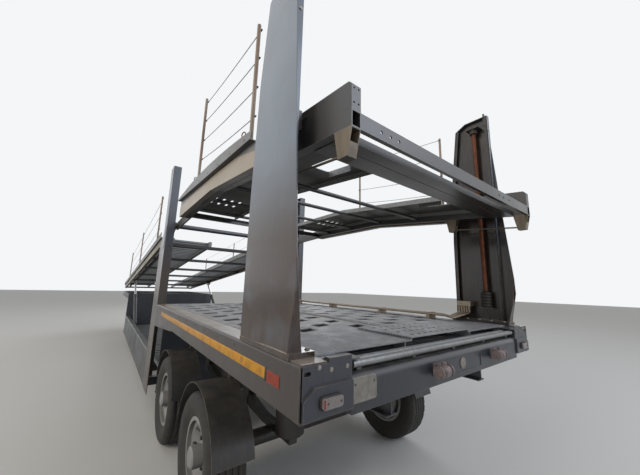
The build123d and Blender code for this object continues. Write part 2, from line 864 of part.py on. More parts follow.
with BuildPart() as arm_hangers:
    reach = arm_width / 2 + hanger_sheet
    for ahead in axle_aheads.values():
        pivot = ahead + arm_pivot_forward
        low = arm_pivot_height - arm_eye_radius
        for y in (rail_y + reach, rail_y - arm_width / 2):
            plate([(pivot - hanger_half, rail_bottom), (pivot + hanger_half, rail_bottom),
                   (pivot + hanger_foot_half, low), (pivot - hanger_foot_half, low)], y, hanger_sheet)
        rod(pivot, arm_pivot_height, arm_pin_radius, rail_y + reach + hanger_sheet,
            rail_y - reach - hanger_sheet)
    mirror(about=Plane.XZ)
arm_hangers.part.label = "arm_hangers"
export_step(arm_hangers.part, "parts/arm_hangers.step")

with BuildPart() as air_springs:
    for ahead in axle_aheads.values():
        height = spring_seat
        bag = (rail_bottom - spring_seat - 3 * spring_plate) / 2
        for radius, length in ((spring_radius - spring_waist, spring_plate), (spring_radius, bag),
                               (spring_radius - spring_waist, spring_plate), (spring_radius, bag),
                               (spring_radius - spring_waist, spring_plate)):
            with Locations((rear_x + ahead - spring_back, rail_y, height)):
                Cylinder(radius, length, align=(Align.CENTER, Align.CENTER, Align.MIN))
            height += length
    mirror(about=Plane.XZ)
air_springs.part.label = "air_springs"
export_step(air_springs.part, "parts/air_springs.step")

# Wheels: tyre, dished rim with a drop centre, and hub with brake drum, each turned about the axle.
# Offsets along the axle are outward from the middle of the wheel.
bead_half = rim_width / 2 - rim_wall - seat_gap
crown_half = tyre_width / 2 - tyre_shoulder
tyre_side = ((rim_radius, bead_half), (rim_radius + rim_flange, bead_half),
             (tyre_radius - 2.4 * tyre_shoulder, tyre_width / 2), (tyre_radius - tyre_shoulder, tyre_width / 2),
             (tyre_radius - tyre_crown, crown_half + tyre_shoulder / 2), (tyre_radius, crown_half))
disc_inset = disc_offset - disc_dish
for place, ahead in axle_aheads.items():
    for hand, side in (("left", 1), ("right", -1)):
        centre = Pos(rear_x + ahead, side * wheel_y, tyre_radius)
        with BuildPart() as tyre:
            with BuildSketch(Plane.XY):
                Polygon(*tyre_side, *[(r, -y) for r, y in reversed(tyre_side)], align=None)
            revolve(axis=Axis.Y)
        placed = centre * tyre.part
        placed.label = "tyre_" + place + "_" + hand
        export_step(placed, "parts/tyre_" + place + "_" + hand + ".step")
        with BuildPart() as rim:
            with BuildSketch(Plane.XY):
                edge = rim_width / 2
                inner = rim_radius - rim_wall
                drop = rim_radius - rim_well_depth
                well = rim_well_width / 2
                Polygon((rim_radius + rim_flange, edge), (rim_radius + rim_flange, edge - rim_wall),
                        (rim_radius, edge - rim_wall), (rim_radius, well + rim_wall), (drop, well),
                        (drop, -well), (rim_radius, -well - rim_wall), (rim_radius, rim_wall - edge),
                        (rim_radius + rim_flange, rim_wall - edge), (rim_radius + rim_flange, -edge),
                        (inner, -edge), (inner, -well - 2 * rim_wall), (drop - rim_wall, -well),
                        (drop - rim_wall, well), (inner, well + 2 * rim_wall), (inner, edge), align=None)
                Polygon(*[(r, side * y) for r, y in (
                    (inner + rim_wall / 2, disc_offset), (disc_shoulder, disc_offset), (disc_foot, disc_inset),
                    (hub_radius, disc_inset), (hub_radius, disc_inset - disc_thickness),
                    (disc_foot + disc_thickness, disc_inset - disc_thickness),
                    (disc_shoulder + disc_thickness, disc_offset - disc_thickness),
                    (inner + rim_wall / 2, disc_offset - disc_thickness))], align=None)
            revolve(axis=Axis.Y)
            with BuildSketch(Plane.XZ):
                with PolarLocations((disc_shoulder + disc_foot) / 2 + hand_hole_shift, hand_hole_count):
                    RegularPolygon(hand_hole_radius, hand_hole_sides)
            extrude(amount=disc_offset + disc_thickness, both=True, mode=Mode.SUBTRACT)
        placed = centre * rim.part
        placed.label = "rim_" + place + "_" + hand
        export_step(placed, "parts/rim_" + place + "_" + hand + ".step")
        with BuildPart() as hub:
            with BuildSketch(Plane.XY):
                bore = stub_radius + turning_fit
                seat = disc_inset - disc_thickness
                back = seat - drum_width
                bore_end = stub_half - wheel_y + moving_gap
                Polygon(*[(r, side * y) for r, y in (
                    (bore, back), (drum_radius + drum_lip, back), (drum_radius + drum_lip, back + 2 * drum_lip),
                    (drum_radius, back + 2 * drum_lip), (drum_radius, seat), (hub_radius - seat_gap, seat),
                    (hub_radius - seat_gap, disc_inset + drum_lip),
                    (hub_radius - hub_nose_taper, disc_inset + 2 * drum_lip),
                    (hub_radius - hub_nose_taper, hub_nose_end - drum_lip),
                    (hub_radius - 2 * hub_nose_taper, hub_nose_end), (0, hub_nose_end),
                    (0, bore_end), (bore, bore_end))], align=None)
            revolve(axis=Axis.Y)
        placed = centre * hub.part
        placed.label = "hub_" + place + "_" + hand
        export_step(placed, "parts/hub_" + place + "_" + hand + ".step")

# Mudguards over the tyres, with a skirt outside, on stalks from the chassis rails
guard_inner = tyre_radius + guard_gap
guard_width = tyre_width + moving_gap
with BuildPart() as mudguards:
    for ahead in axle_aheads.values():
        with BuildSketch(side_plane(tyre_outer_face)) as arch:
            with Locations((ahead, tyre_radius)):
                Circle(guard_inner + guard_sheet)
                Circle(guard_inner, mode=Mode.SUBTRACT)
            with Locations((ahead, guard_rise)):
                Rectangle(3 * guard_inner, 2 * tyre_radius, mode=Mode.SUBTRACT)
        extrude(arch.sketch, amount=guard_width)
        inner = tyre_outer_face - guard_width
        stalk = stalk_width / 2
        bar((ahead - stalk, ahead + stalk), (rail_y + rail_width / 2, inner + stalk_width),
            (rail_bottom, rail_bottom + stalk_width))
        bar((ahead - stalk, ahead + stalk), (inner, inner + stalk_width),
            (tyre_radius + guard_inner + guard_sheet / 2, rail_bottom + stalk_width))
    mirror(about=Plane.XZ)
mudguards.part.label = "mudguards"
export_step(mudguards.part, "parts/mudguards.step")

# Hydraulic pipes along the right side of the rear deck, turning up into the valve block in the post
with BuildPart() as hydraulic_pipes:
    for number in range(pipe_count):
        y = -(pipe_y + pipe_pitch * number)
        x = pipe_end_ahead + pipe_step * number
        way = ((pipe_front, y, pipe_height), (x + 2 * pipe_turn, y, pipe_height),
               (x + pipe_turn, y, pipe_height - pipe_dip), (x, -pipe_post_y, pipe_height + pipe_lift),
               (x, -pipe_post_y, valve_low + thin_sheet))
        with BuildLine() as pipe_line:
            FilletPolyline(*[(rear_x + a, b, c) for a, b, c in way], radius=pipe_bend)
        with BuildSketch(Plane(origin=(rear_x + pipe_front, y, pipe_height), z_dir=(-1, 0, 0))) as bore:
            Circle(pipe_radius)
        sweep(bore.sketch, path=pipe_line.line)
    pipe_outer = pipe_y + (pipe_count - 0.5) * pipe_pitch
    for x in pipe_clips:
        bar((x, x + clip_length), (-pipe_outer, pipe_pitch / 2 - pipe_y),
            (deck_top, pipe_height + pipe_radius + thin_sheet))
    bar((pipe_end_ahead - pipe_step, pipe_end_ahead + (pipe_count - 0.5) * pipe_step),
        (sheet - side_face, -pipe_post_y + 2 * pipe_radius), (valve_low, valve_low + valve_height))
hydraulic_pipes.part.label = "hydraulic_pipes"
export_step(hydraulic_pipes.part, "parts/hydraulic_pipes.step")

# Ramp couplings on the face of the rear beam: bulb with knob, flanges and a free stub end
with BuildPart() as ramp_couplings:
    half = coupling_half
    for y in coupling_ys:
        rod(-coupling_reach, coupling_height, coupling_radius, y + half / 2, y - half / 2)
    chamfer(ramp_couplings.edges().filter_by(GeomType.CIRCLE), coupling_round)
    for y in coupling_ys:
        rod(-coupling_reach, coupling_height, coupling_neck, y + half, y - half)
        for start, length, radius in ((half, coupling_flange, coupling_radius),
                                      (-half / 2 - coupling_flange, coupling_flange, coupling_radius),
                                      (-half, coupling_stub_length, coupling_stub)):
            rod(-coupling_reach, coupling_height, radius, y + start, y + start - length)
        with Locations((rear_x - coupling_reach, y, (coupling_height + coupling_knob_top) / 2)):
            Cylinder(coupling_knob, coupling_knob_top - coupling_height)
        plate([(-coupling_reach, coupling_height - coupling_neck), (0, coupling_height - coupling_foot / 2),
               (0, coupling_height + coupling_foot / 2), (-coupling_reach, coupling_height + coupling_neck)],
              y + sheet, 2 * sheet)
        bar((-sheet, 0), (y - coupling_foot / 2, y + coupling_foot / 2),
            (coupling_height - coupling_foot / 2, coupling_height + coupling_foot / 2))
ramp_couplings.part.label = "ramp_couplings"
export_step(ramp_couplings.part, "parts/ramp_couplings.step")

with BuildPart() as rear_lamps:
    bar((-corner_emboss - lamp_depth, -corner_emboss), (lamp_inner, lamp_outer), (lamp_low, lamp_high))
    fillet(rear_lamps.edges().filter_by(Axis.X), lamp_corner)
    mirror(about=Plane.XZ)
rear_lamps.part.label = "rear_lamps"
export_step(rear_lamps.part, "parts/rear_lamps.step")

# Rear posts: channels that open inward and taper upward, on a foot plate, with guides for the nut
gearbox_low = deck_top + gearbox_rise
bearing_low = post_top - bearing_drop


def post_front(z):
    """Front edge of the rear post at a height."""
    return post_front_foot - (post_front_foot - post_front_head) * (z - deck_top) / (post_top - deck_top)


with BuildPart() as rear_posts:
    foot_top = deck_top + post_foot_height
    shoulder = post_top - post_chamfer_drop
    crown = post_front(shoulder) - post_chamfer_length
    plate([(post_rear, foot_top), (post_front(foot_top), foot_top), (post_front(shoulder), shoulder),
           (crown, post_top), (post_rear, post_top)], side_face, post_depth)
    plate([(post_rear + sheet, foot_top), (post_front(foot_top) - sheet, foot_top),
           (post_front(shoulder) - sheet, shoulder), (crown, post_top - sheet),
           (post_rear + sheet, post_top - sheet)], well_inner, post_depth - sheet, mode=Mode.SUBTRACT)
    lip_y = side_face - post_depth + sheet
    plate([(post_rear, foot_top), (post_rear + post_lip, foot_top), (post_rear + post_lip, post_top - sheet),
           (post_rear, post_top - sheet)], lip_y, sheet)
    plate([(post_front(post_lip_low) - post_lip, post_lip_low), (post_front(post_lip_low), post_lip_low),
           (post_front(shoulder), shoulder), (post_front(shoulder) - post_lip, shoulder)], lip_y, sheet)
    bar((post_rear, post_front_foot), (side_face - sill_flange, side_face), (deck_top, foot_top))
    for x, low in ((guide_offset, guide_low), (guide_front, guide_low)):
        bar((x - guide_width / 2, x + guide_width / 2), (well_inner - guide_depth, well_inner),
            (low, bearing_low))
    for low in (gearbox_low - sheet, bearing_low + bearing_length):
        bar((spindle_ahead - shelf_half, spindle_ahead + shelf_half), (lip_y, well_inner), (low, low + sheet))
    bar((post_rear, post_rear + 2 * sheet), (spindle_y - guide_width, spindle_y),
        (post_top, post_top + guide_width))
    mirror(about=Plane.XZ)
rear_posts.part.label = "rear_posts"
export_step(rear_posts.part, "parts/rear_posts.step")

# Lifting spindles: ribbed gearbox at the foot, bare spindle, bearing below the head of the post
with BuildPart() as lift_spindles:
    gearbox_high = gearbox_low + gearbox_height
    rib_pitch = (gearbox_height - gearbox_rib) / (gearbox_ribs - 1)
    rings = [(gearbox_low, gearbox_height, gearbox_radius - gearbox_waist),
             (gearbox_high, bearing_low - gearbox_high, spindle_radius),
             (bearing_low, bearing_length, bearing_radius)]
    rings += [(gearbox_low + number * rib_pitch, gearbox_rib, gearbox_radius) for number in range(gearbox_ribs)]
    for low, length, radius in rings:
        with Locations((rear_x + spindle_ahead, spindle_y, low)):
            Cylinder(radius, length, align=(Align.CENTER, Align.CENTER, Align.MIN))
    mirror(about=Plane.XZ)
lift_spindles.part.label = "lift_spindles"
export_step(lift_spindles.part, "parts/lift_spindles.step")

# Middle posts: channels, wide below and narrow above, with a boss round the hinge tube
with BuildPart() as mid_posts:
    flare = [(mid_post_flare, well_sill_bottom), (mid_post_flare, mid_flare_low),
             (mid_post_front, mid_flare_high), (mid_post_front, mid_post_top)]
    inner_flare = [(mid_post_flare - sheet, well_sill_bottom), (mid_post_flare - sheet, mid_flare_low - sheet),
                   (mid_post_front - sheet, mid_flare_high - sheet), (mid_post_front - sheet, mid_post_top)]
    plate([(mid_post_rear, well_sill_bottom)] + flare + [(mid_post_rear, mid_post_top)], side_face, sheet)
    plate(flare + inner_flare[::-1], side_face, mid_post_depth)
    bar((mid_post_rear, mid_post_rear + sheet), (side_face - mid_post_depth, side_face),
        (deck_top, mid_post_top))
    bar((mid_post_rear, mid_post_front), (side_face - mid_post_depth, side_face),
        (mid_post_top - sheet, mid_post_top))
    plate([(mid_post_rear + gusset_inset, mid_flare_low - gusset_inset),
           (mid_post_flare - gusset_inset, mid_flare_low - gusset_inset),
           (mid_post_front - gusset_inset, mid_flare_high + gusset_inset),
           (mid_post_rear + gusset_inset, mid_flare_high + gusset_inset)], half_width, lens_stand)
    rod(hinge_ahead, hinge_height, hinge_boss_radius, well_inner, well_inner - hinge_boss)
    rod(hinge_ahead, hinge_height, hinge_radius, well_inner, well_inner - hinge_boss, mode=Mode.SUBTRACT)
    mirror(about=Plane.XZ)
mid_posts.part.label = "mid_posts"
export_step(mid_posts.part, "parts/mid_posts.step")

with BuildPart() as hinge_tube:
    rod(hinge_ahead, hinge_height, hinge_radius, well_inner, -well_inner)
hinge_tube.part.label = "hinge_tube"
export_step(hinge_tube.part, "parts/hinge_tube.step")

# Upper rear platform: rails with tail boxes beside the posts, side beams ahead of them, hinge arms
nut_line = tail_bottom + tail_height / 2
nut_level = platform_line(spindle_ahead) + nut_line
with BuildPart() as upper_rear_beams:
    rail_high_line = along_platform(tail_rear, platform_front, tail_bottom)
    plate(band(rail_high_line, tail_bottom - rail_low), tail_outer, tail_width)
    plate(band(along_platform(tail_rear, tail_rear + rail_pocket, tail_bottom - thin_sheet),
               tail_bottom - rail_low - 2 * thin_sheet), tail_outer - thin_sheet,
          tail_width - 2 * thin_sheet, mode=Mode.SUBTRACT)
    tail_top = tail_bottom + tail_height
    tail_line = along_platform(tail_rear, tail_front, tail_bottom)
    plate(tail_line + [(tail_front, platform_line(tail_front) + tail_top),
                       (tail_rear + tail_chamfer, platform_line(tail_rear) + tail_top),
                       (tail_rear, platform_line(tail_rear) + tail_top - tail_chamfer)],
          tail_outer, tail_width)
    with BuildSketch(side_plane(tail_outer)) as slot_outline:
        with Locations((spindle_ahead - nut_slot_reach / 2, nut_level)):
            SlotCenterToCenter(nut_slot_reach, 2 * (nut_pin_radius + nut_slot_play))
    extrude(slot_outline.sketch, amount=tail_width, mode=Mode.SUBTRACT)
    with BuildSketch(cross_plane(tail_rear)) as end_holes:
        with Locations((tail_outer - tail_width / 2, platform_line(tail_rear) + nut_line)):
            with GridLocations(tail_width / 2, tail_height / 2, 2, 2):
                RegularPolygon(tail_hole_radius, 6)
    extrude(end_holes.sketch, amount=2 * sheet, mode=Mode.SUBTRACT)
    side_top = [(x, platform_line(x) + rise) for x, rise in side_beam_tops]
    side_low = along_platform(side_beam_rear, platform_front, 0)
    channel_beam(side_top, side_low, side_beam_outer, side_beam_width, sheet)
    for x in outrigger_aheads:
        plate(band(along_platform(x, x + outrigger_width, tail_bottom), tail_bottom - rail_low),
              side_beam_outer - sheet, side_beam_outer - sheet - tail_outer)
    arm_high = platform_bottom + side_beam_tops[-1][1]
    bar((platform_front - sheet, platform_front), (arm_inner, side_beam_outer), (platform_bottom, arm_high))
    plate([(platform_front - front_cross_width, platform_bottom), (hinge_ahead, hinge_height - arm_eye),
           (hinge_ahead, hinge_height + arm_eye), (platform_front - front_cross_width, arm_high)],
          arm_inner + arm_thickness, arm_thickness)
    rod(hinge_ahead, hinge_height, arm_eye, arm_inner + arm_thickness, arm_inner)
    rod(hinge_ahead, hinge_height, hinge_radius + turning_fit, arm_inner + arm_thickness, arm_inner,
        mode=Mode.SUBTRACT)
    mirror(about=Plane.XZ)
upper_rear_beams.part.label = "upper_rear_beams"
export_step(upper_rear_beams.part, "parts/upper_rear_beams.step")

# Cross beams of the rear platform: end channel, two folded channels behind the tracks, tubes
with BuildPart() as upper_rear_crossbeams:
    channel_end = tail_rear + rear_channel_depth
    beam_line = along_platform(tail_rear, channel_end, tail_bottom)
    plate(band(beam_line, tail_bottom - rail_low), tail_inner, 2 * tail_inner)
    pocket = along_platform(tail_rear + sheet, channel_end, tail_bottom - sheet)
    plate(band(pocket, tail_bottom - rail_low - 2 * sheet), tail_inner, 2 * tail_inner, mode=Mode.SUBTRACT)
    with BuildSketch(cross_plane(tail_rear)) as beam_holes:
        for y in rear_channel_holes:
            with Locations((y, platform_line(tail_rear) + (tail_bottom + rail_low) / 2)):
                Circle(rear_channel_hole)
    extrude(beam_holes.sketch, amount=sheet, mode=Mode.SUBTRACT)
    for start, length, top in tail_plates:
        outer = along_platform(start, start + length, top)
        plate(band(outer, top - tail_plate_low), tail_inner, 2 * tail_inner)
        inner = along_platform(start + thin_sheet, start + length - thin_sheet, top)
        plate(band(inner, top - tail_plate_low - thin_sheet), tail_inner, 2 * tail_inner, mode=Mode.SUBTRACT)
    for x in cross_tube_aheads:
        slope = platform_slope if x < kink_ahead else 0
        height = platform_line(x) + track_rest - cross_tube_radius / cos(radians(slope))
        rod(x, height, cross_tube_radius, tail_inner, -tail_inner)
    cross_start = platform_front - front_cross_width
    bar((cross_start, platform_front), (-arm_inner, arm_inner),
        (platform_bottom + rail_low, platform_bottom + track_rest))
    bar((cross_start, platform_front - sheet), (-arm_inner, arm_inner),
        (platform_bottom + rail_low + sheet, platform_bottom + track_rest - sheet), mode=Mode.SUBTRACT)
upper_rear_crossbeams.part.label = "upper_rear_crossbeams"
export_step(upper_rear_crossbeams.part, "parts/upper_rear_crossbeams.step")

# Tracks of the rear platform: folded sheets with a bay each, slots and rows of small holes
with BuildPart() as upper_rear_tracks:
    fold_depth = platform_track_low - track_rest
    track_line = along_platform(platform_track_start, platform_front, platform_track_low)
    plate(band(track_line, thin_sheet), tail_inner, tail_inner - platform_track_inner)
    for y in (tail_inner, platform_track_inner + thin_sheet):
        plate(band(track_line, fold_depth), y, thin_sheet)
    track_base = platform_line(platform_track_start)
    with BuildSketch(level_plane(track_base)) as openings:
        with Locations(((bay_start + bay_end) / 2, (bay_inner + bay_outer) / 2)):
            RectangleRounded(bay_end - bay_start, bay_outer - bay_inner, bend_radius)
        with Locations((slot_ahead, slot_y)):
            with GridLocations(slot_pitch, slot_pitch, 1, slot_count):
                SlotOverall(slot_length, slot_width)
        with Locations((dot_ahead, dot_y)):
            with GridLocations(dot_pitch_x, dot_pitch_y, dot_columns, dot_rows):
                RegularPolygon(dot_radius, 6)
    extrude(openings.sketch, amount=platform_bottom + 2 * platform_track_low - track_base, mode=Mode.SUBTRACT)
    lip_line = along_platform(bay_start, bay_end, platform_track_low)
    plate(band(lip_line, fold_depth), bay_inner, thin_sheet)
    mirror(about=Plane.XZ)
upper_rear_tracks.part.label = "upper_rear_tracks"
export_step(upper_rear_tracks.part, "parts/upper_rear_tracks.step")

# Walkways of the rear platform: floor on two skirts, arched kerb outside, plate across the rear end
with BuildPart() as upper_rear_walkways:
    floor_line = [(walk_start, walk_floor_rear), (platform_front, walk_floor_front)]
    kerb_inner = side_face - walk_sheet
    plate(floor_line + lifted(floor_line, walk_sheet)[::-1], kerb_inner, kerb_inner - walk_inner)
    with BuildSketch(side_plane(side_face)) as kerb:
        with BuildLine():
            Polyline((walk_start, walk_crest(walk_start)), (walk_start, walk_floor_rear),
                     (platform_front, walk_floor_front), (platform_front, walk_crest(platform_front)))
            ThreePointArc((platform_front, walk_crest(platform_front)), (walk_crest_ahead, walk_crest_height),
                          (walk_start, walk_crest(walk_start)))
        make_face()
    extrude(kerb.sketch, amount=walk_sheet)
    skirt_low = [(walk_start, side_top_at(walk_start))] + [p for p in side_top if p[0] > walk_start]
    for y in (side_face - walk_skirt_inset, side_beam_outer - side_beam_width + 2 * walk_sheet):
        plate(skirt_low + floor_line[::-1], y, walk_sheet)
    bar((walk_start, walk_start + walk_sheet), (tail_outer + moving_gap, side_face - walk_skirt_inset - walk_sheet),
        (side_top_at(walk_start) + walk_sheet, walk_floor_rear + walk_sheet))
    mirror(about=Plane.XZ)
upper_rear_walkways.part.label = "upper_rear_walkways"
export_step(upper_rear_walkways.part, "parts/upper_rear_walkways.step")

stanchion_y = side_face - walk_sheet - stanchion_radius
with BuildPart() as rear_stanchions:
    for x, top in rear_stanchion_tops:
        floor_top = walk_floor(x + stanchion_radius) + walk_sheet
        with Locations((rear_x + x, stanchion_y, floor_top)):
            Cylinder(stanchion_radius, top - floor_top, align=(Align.CENTER, Align.CENTER, Align.MIN))
    mirror(about=Plane.XZ)
rear_stanchions.part.label = "rear_stanchions"
export_step(rear_stanchions.part, "parts/rear_stanchions.step")

# Brackets hanging from the rails before and behind the post, with a tie between their feet
with BuildPart() as upper_rear_brackets:
    for start in (tail_rear, bracket_front):
        middle = start + bracket_length / 2
        foot = bracket_foot / 2
        top = platform_line(middle) + rail_low - bracket_length / 2 * tan(radians(platform_slope))
        low = top - bracket_drop
        outline = [(start, top), (start + bracket_length, top + bracket_length * tan(radians(platform_slope))),
                   (middle + foot, low), (middle - foot, low)]
        plate(outline, tail_outer, tail_width)
        pocket = [(start, top - thin_sheet), (start + bracket_length - 2 * thin_sheet, top - thin_sheet),
                  (middle + foot - 2 * thin_sheet, low + thin_sheet), (middle - foot, low + thin_sheet)]
        plate(pocket, tail_outer - thin_sheet, tail_width - 2 * thin_sheet, mode=Mode.SUBTRACT)
    tie_start = tail_rear + bracket_length / 2
    slope = radians(platform_slope)
    tie_plane = Plane(origin=(rear_x + tie_start, (tail_outer + tail_inner) / 2,
                              platform_line(tie_start) - bracket_drop + tie_drop),
                      x_dir=(0, 1, 0), z_dir=(cos(slope), 0, sin(slope)))
    with BuildSketch(tie_plane) as tie_outline:
        Circle(tie_radius)
    extrude(tie_outline.sketch, amount=(bracket_front - tail_rear) / cos(slope))
    mirror(about=Plane.XZ)
upper_rear_brackets.part.label = "upper_rear_brackets"
export_step(upper_rear_brackets.part, "parts/upper_rear_brackets.step")

# Carriages: the nut on each spindle, with the pin that carries the platform
with BuildPart() as spindle_nuts:
    with BuildSketch(level_plane(nut_level - nut_height / 2)) as nut_outline:
        with Locations((spindle_ahead, spindle_y)):
            Rectangle(nut_length, nut_width)
            Circle(spindle_radius + turning_fit, mode=Mode.SUBTRACT)
    extrude(nut_outline.sketch, amount=nut_height)
    nut_face = spindle_y - nut_width / 2
    rod(spindle_ahead, nut_level, nut_pin_radius, nut_face, tail_inner - pin_end_gap)
    mirror(about=Plane.XZ)
spindle_nuts.part.label = "spindle_nuts"
export_step(spindle_nuts.part, "parts/spindle_nuts.step")

# Upper front platform: channel beams, arms to the hinge tube, and ears for the lifting cylinders
front_arm_outer = arm_inner + 2 * arm_thickness + front_arm_gap
eye_height = front_line(lift_eye_ahead) - front_beam_height - lift_eye_drop
with BuildPart() as upper_front_beams:
    channel_beam(along_front(front_rear_end, front_end, -front_kerb_height),
                 along_front(front_rear_end, front_end, -front_beam_height),
                 front_beam_outer, front_beam_width, sheet)
    arm_end = front_rear_end + front_cross_width
    arm_top = along_front(front_rear_end, arm_end, -front_kerb_height)
    plate([(hinge_ahead, hinge_height + arm_eye), (hinge_ahead, hinge_height - arm_eye),
           (arm_end, front_line(arm_end) - front_beam_height)] + arm_top[::-1], front_arm_outer, arm_thickness)
    rod(hinge_ahead, hinge_height, arm_eye, front_arm_outer, front_arm_outer - arm_thickness)
    rod(hinge_ahead, hinge_height, hinge_radius + turning_fit, front_arm_outer,
        front_arm_outer - arm_thickness, mode=Mode.SUBTRACT)
    plate(band(along_front(front_rear_end, front_rear_end + arm_thickness, -front_kerb_height),
               front_beam_height - front_kerb_height), front_beam_outer,
          front_beam_outer - front_arm_outer + arm_thickness)
    ear_outer = front_beam_outer - front_beam_width + ear_overlap
    ear_top = along_front(lift_eye_ahead - ear_half_top, lift_eye_ahead + ear_half_top,
                          sheet - front_beam_height)
    plate(ear_top + [(lift_eye_ahead + ear_half_foot, eye_height - lift_eye_drop),
                     (lift_eye_ahead - ear_half_foot, eye_height - lift_eye_drop)],
          ear_outer, ear_outer - (lift_y + rod_eye_half + eye_gap))
    mirror(about=Plane.XZ)
upper_front_beams.part.label = "upper_front_beams"
export_step(upper_front_beams.part, "parts/upper_front_beams.step")

with BuildPart() as upper_front_walkways:
    front_floor = along_front(front_rear_end, front_end, -front_kerb_height)
    plate(front_floor + lifted(front_floor, walk_sheet)[::-1], side_face, side_face - front_walk_inner)
    plate(band(along_front(front_rear_end, front_end, 0), front_kerb_height), side_face, walk_sheet)
    mirror(about=Plane.XZ)
upper_front_walkways.part.label = "upper_front_walkways"
export_step(upper_front_walkways.part, "parts/upper_front_walkways.step")

with BuildPart() as upper_front_tracks:
    track_top = -(front_track_drop - front_track_depth)
    ladder_start = front_rear_end + front_cross_width
    for y in (front_track_outer, front_track_inner + front_track_edge):
        plate(band(along_front(ladder_start, front_end, track_top), front_track_depth), y, front_track_edge)
    for number in range(int((front_end - ladder_start - slat_width) // front_slat_pitch)):
        x = ladder_start + front_slat_pitch / 2 + number * front_slat_pitch
        plate(band(along_front(x, x + slat_width, track_top - slat_drop), slat_height), front_track_outer,
              front_track_outer - front_track_inner)
    mirror(about=Plane.XZ)
upper_front_tracks.part.label = "upper_front_tracks"
export_step(upper_front_tracks.part, "parts/upper_front_tracks.step")

with BuildPart() as upper_front_crossbeams:
    reach = front_beam_outer - sheet
    first = front_rear_end + front_cross_width
    spacing = (front_end - first - front_member_width) / (front_member_count - 1)
    for number in range(front_member_count):
        x = first + number * spacing
        outer = along_front(x, x + front_member_width, -front_track_drop)
        plate(band(outer, front_member_depth), reach, 2 * reach)
        inner = along_front(x + thin_sheet, x + front_member_width - thin_sheet, -front_track_drop - thin_sheet)
        plate(band(inner, front_member_depth), reach, 2 * reach, mode=Mode.SUBTRACT)
upper_front_crossbeams.part.label = "upper_front_crossbeams"
export_step(upper_front_crossbeams.part, "parts/upper_front_crossbeams.step")

with BuildPart() as front_stanchions:
    for x in front_stanchion_aheads:
        floor_top = front_line(x - stanchion_radius) - front_kerb_height + walk_sheet
        with Locations((rear_x + x, stanchion_y, floor_top)):
            Cylinder(stanchion_radius, stanchion_height, align=(Align.CENTER, Align.CENTER, Align.MIN))
    mirror(about=Plane.XZ)
front_stanchions.part.label = "front_stanchions"
export_step(front_stanchions.part, "parts/front_stanchions.step")

# Lifting cylinders of the front platform: pins on the well sills, barrels, rods
lift_angle = degrees(atan2(eye_height - lift_base_height, lift_eye_ahead - lift_base_ahead))
lift_length = hypot(eye_height - lift_base_height, lift_eye_ahead - lift_base_ahead)
barrel_axis = Plane(origin=(rear_x + lift_base_ahead, lift_y, lift_base_height),
                    x_dir=(0, 1, 0), z_dir=(cos(radians(lift_angle)), 0, sin(radians(lift_angle))))


def along_cylinder(start, radius, length, mode=Mode.ADD):
    """Round body on the axis of the left lifting cylinder."""
    with BuildSketch(barrel_axis.offset(start)) as outline:
        Circle(radius)
    extrude(outline.sketch, amount=length, mode=mode)


with BuildPart() as lift_pins:
    rod(lift_base_ahead, lift_base_height, lift_pin_radius, well_inner, lift_y - lift_eye_radius)
    mirror(about=Plane.XZ)
lift_pins.part.label = "lift_pins"
export_step(lift_pins.part, "parts/lift_pins.step")

with BuildPart() as lift_barrels:
    along_cylinder(0, lift_barrel_radius, lift_barrel_length)
    along_cylinder(lift_barrel_length - lift_head_length, lift_head_radius, lift_head_length)
    rod(lift_base_ahead, lift_base_height, lift_eye_radius, lift_y + lift_eye_radius, lift_y - lift_eye_radius)
    rod(lift_base_ahead, lift_base_height, lift_pin_radius + turning_fit, lift_y + lift_barrel_radius,
        lift_y - lift_barrel_radius, mode=Mode.SUBTRACT)
    along_cylinder(lift_bottom_wall, lift_rod_radius + turning_fit, lift_barrel_length, mode=Mode.SUBTRACT)
    mirror(about=Plane.XZ)
lift_barrels.part.label = "lift_barrels"
export_step(lift_barrels.part, "parts/lift_barrels.step")

with BuildPart() as lift_rods:
    rod_start = lift_bottom_wall + lift_rod_inset
    along_cylinder(rod_start, lift_rod_radius, lift_length - rod_start)
    rod(lift_eye_ahead, eye_height, lift_eye_radius, lift_y + rod_eye_half, lift_y - rod_eye_half)
    mirror(about=Plane.XZ)
lift_rods.part.label = "lift_rods"
export_step(lift_rods.part, "parts/lift_rods.step")
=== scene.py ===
# %% [markdown]
# # A two-deck car transporter semi-trailer
# The real object is a long welded steel trailer: a low deck over two axles, wide posts beside it, and
# two upper platforms that tilt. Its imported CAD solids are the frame. They keep their shapes and get
# real finishes here, and small parts that a CAD solid leaves out are added as numpy surfaces.

# %% Load the frame
import math
import bpy
import numpy as np
from mathutils import Matrix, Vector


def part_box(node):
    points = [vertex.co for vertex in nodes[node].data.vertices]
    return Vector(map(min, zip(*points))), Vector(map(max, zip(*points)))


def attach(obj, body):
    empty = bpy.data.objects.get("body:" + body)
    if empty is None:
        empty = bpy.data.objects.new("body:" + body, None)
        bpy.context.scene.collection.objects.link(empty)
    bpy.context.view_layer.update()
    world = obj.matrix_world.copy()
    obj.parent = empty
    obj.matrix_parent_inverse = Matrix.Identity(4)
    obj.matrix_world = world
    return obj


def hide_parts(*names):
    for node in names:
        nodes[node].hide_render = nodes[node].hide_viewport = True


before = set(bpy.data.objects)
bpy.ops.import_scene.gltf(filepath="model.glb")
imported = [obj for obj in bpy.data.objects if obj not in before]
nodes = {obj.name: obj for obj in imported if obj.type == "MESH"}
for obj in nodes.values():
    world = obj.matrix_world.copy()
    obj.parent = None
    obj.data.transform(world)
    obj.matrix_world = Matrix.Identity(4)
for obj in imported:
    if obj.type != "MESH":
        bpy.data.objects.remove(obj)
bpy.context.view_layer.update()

sides = {"left": 1, "right": -1}
rear_x = float(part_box("rear_beam")[0][0])
side_face = float(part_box("rear_sills")[1][1])
deck_top = float(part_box("rear_sills")[1][2])


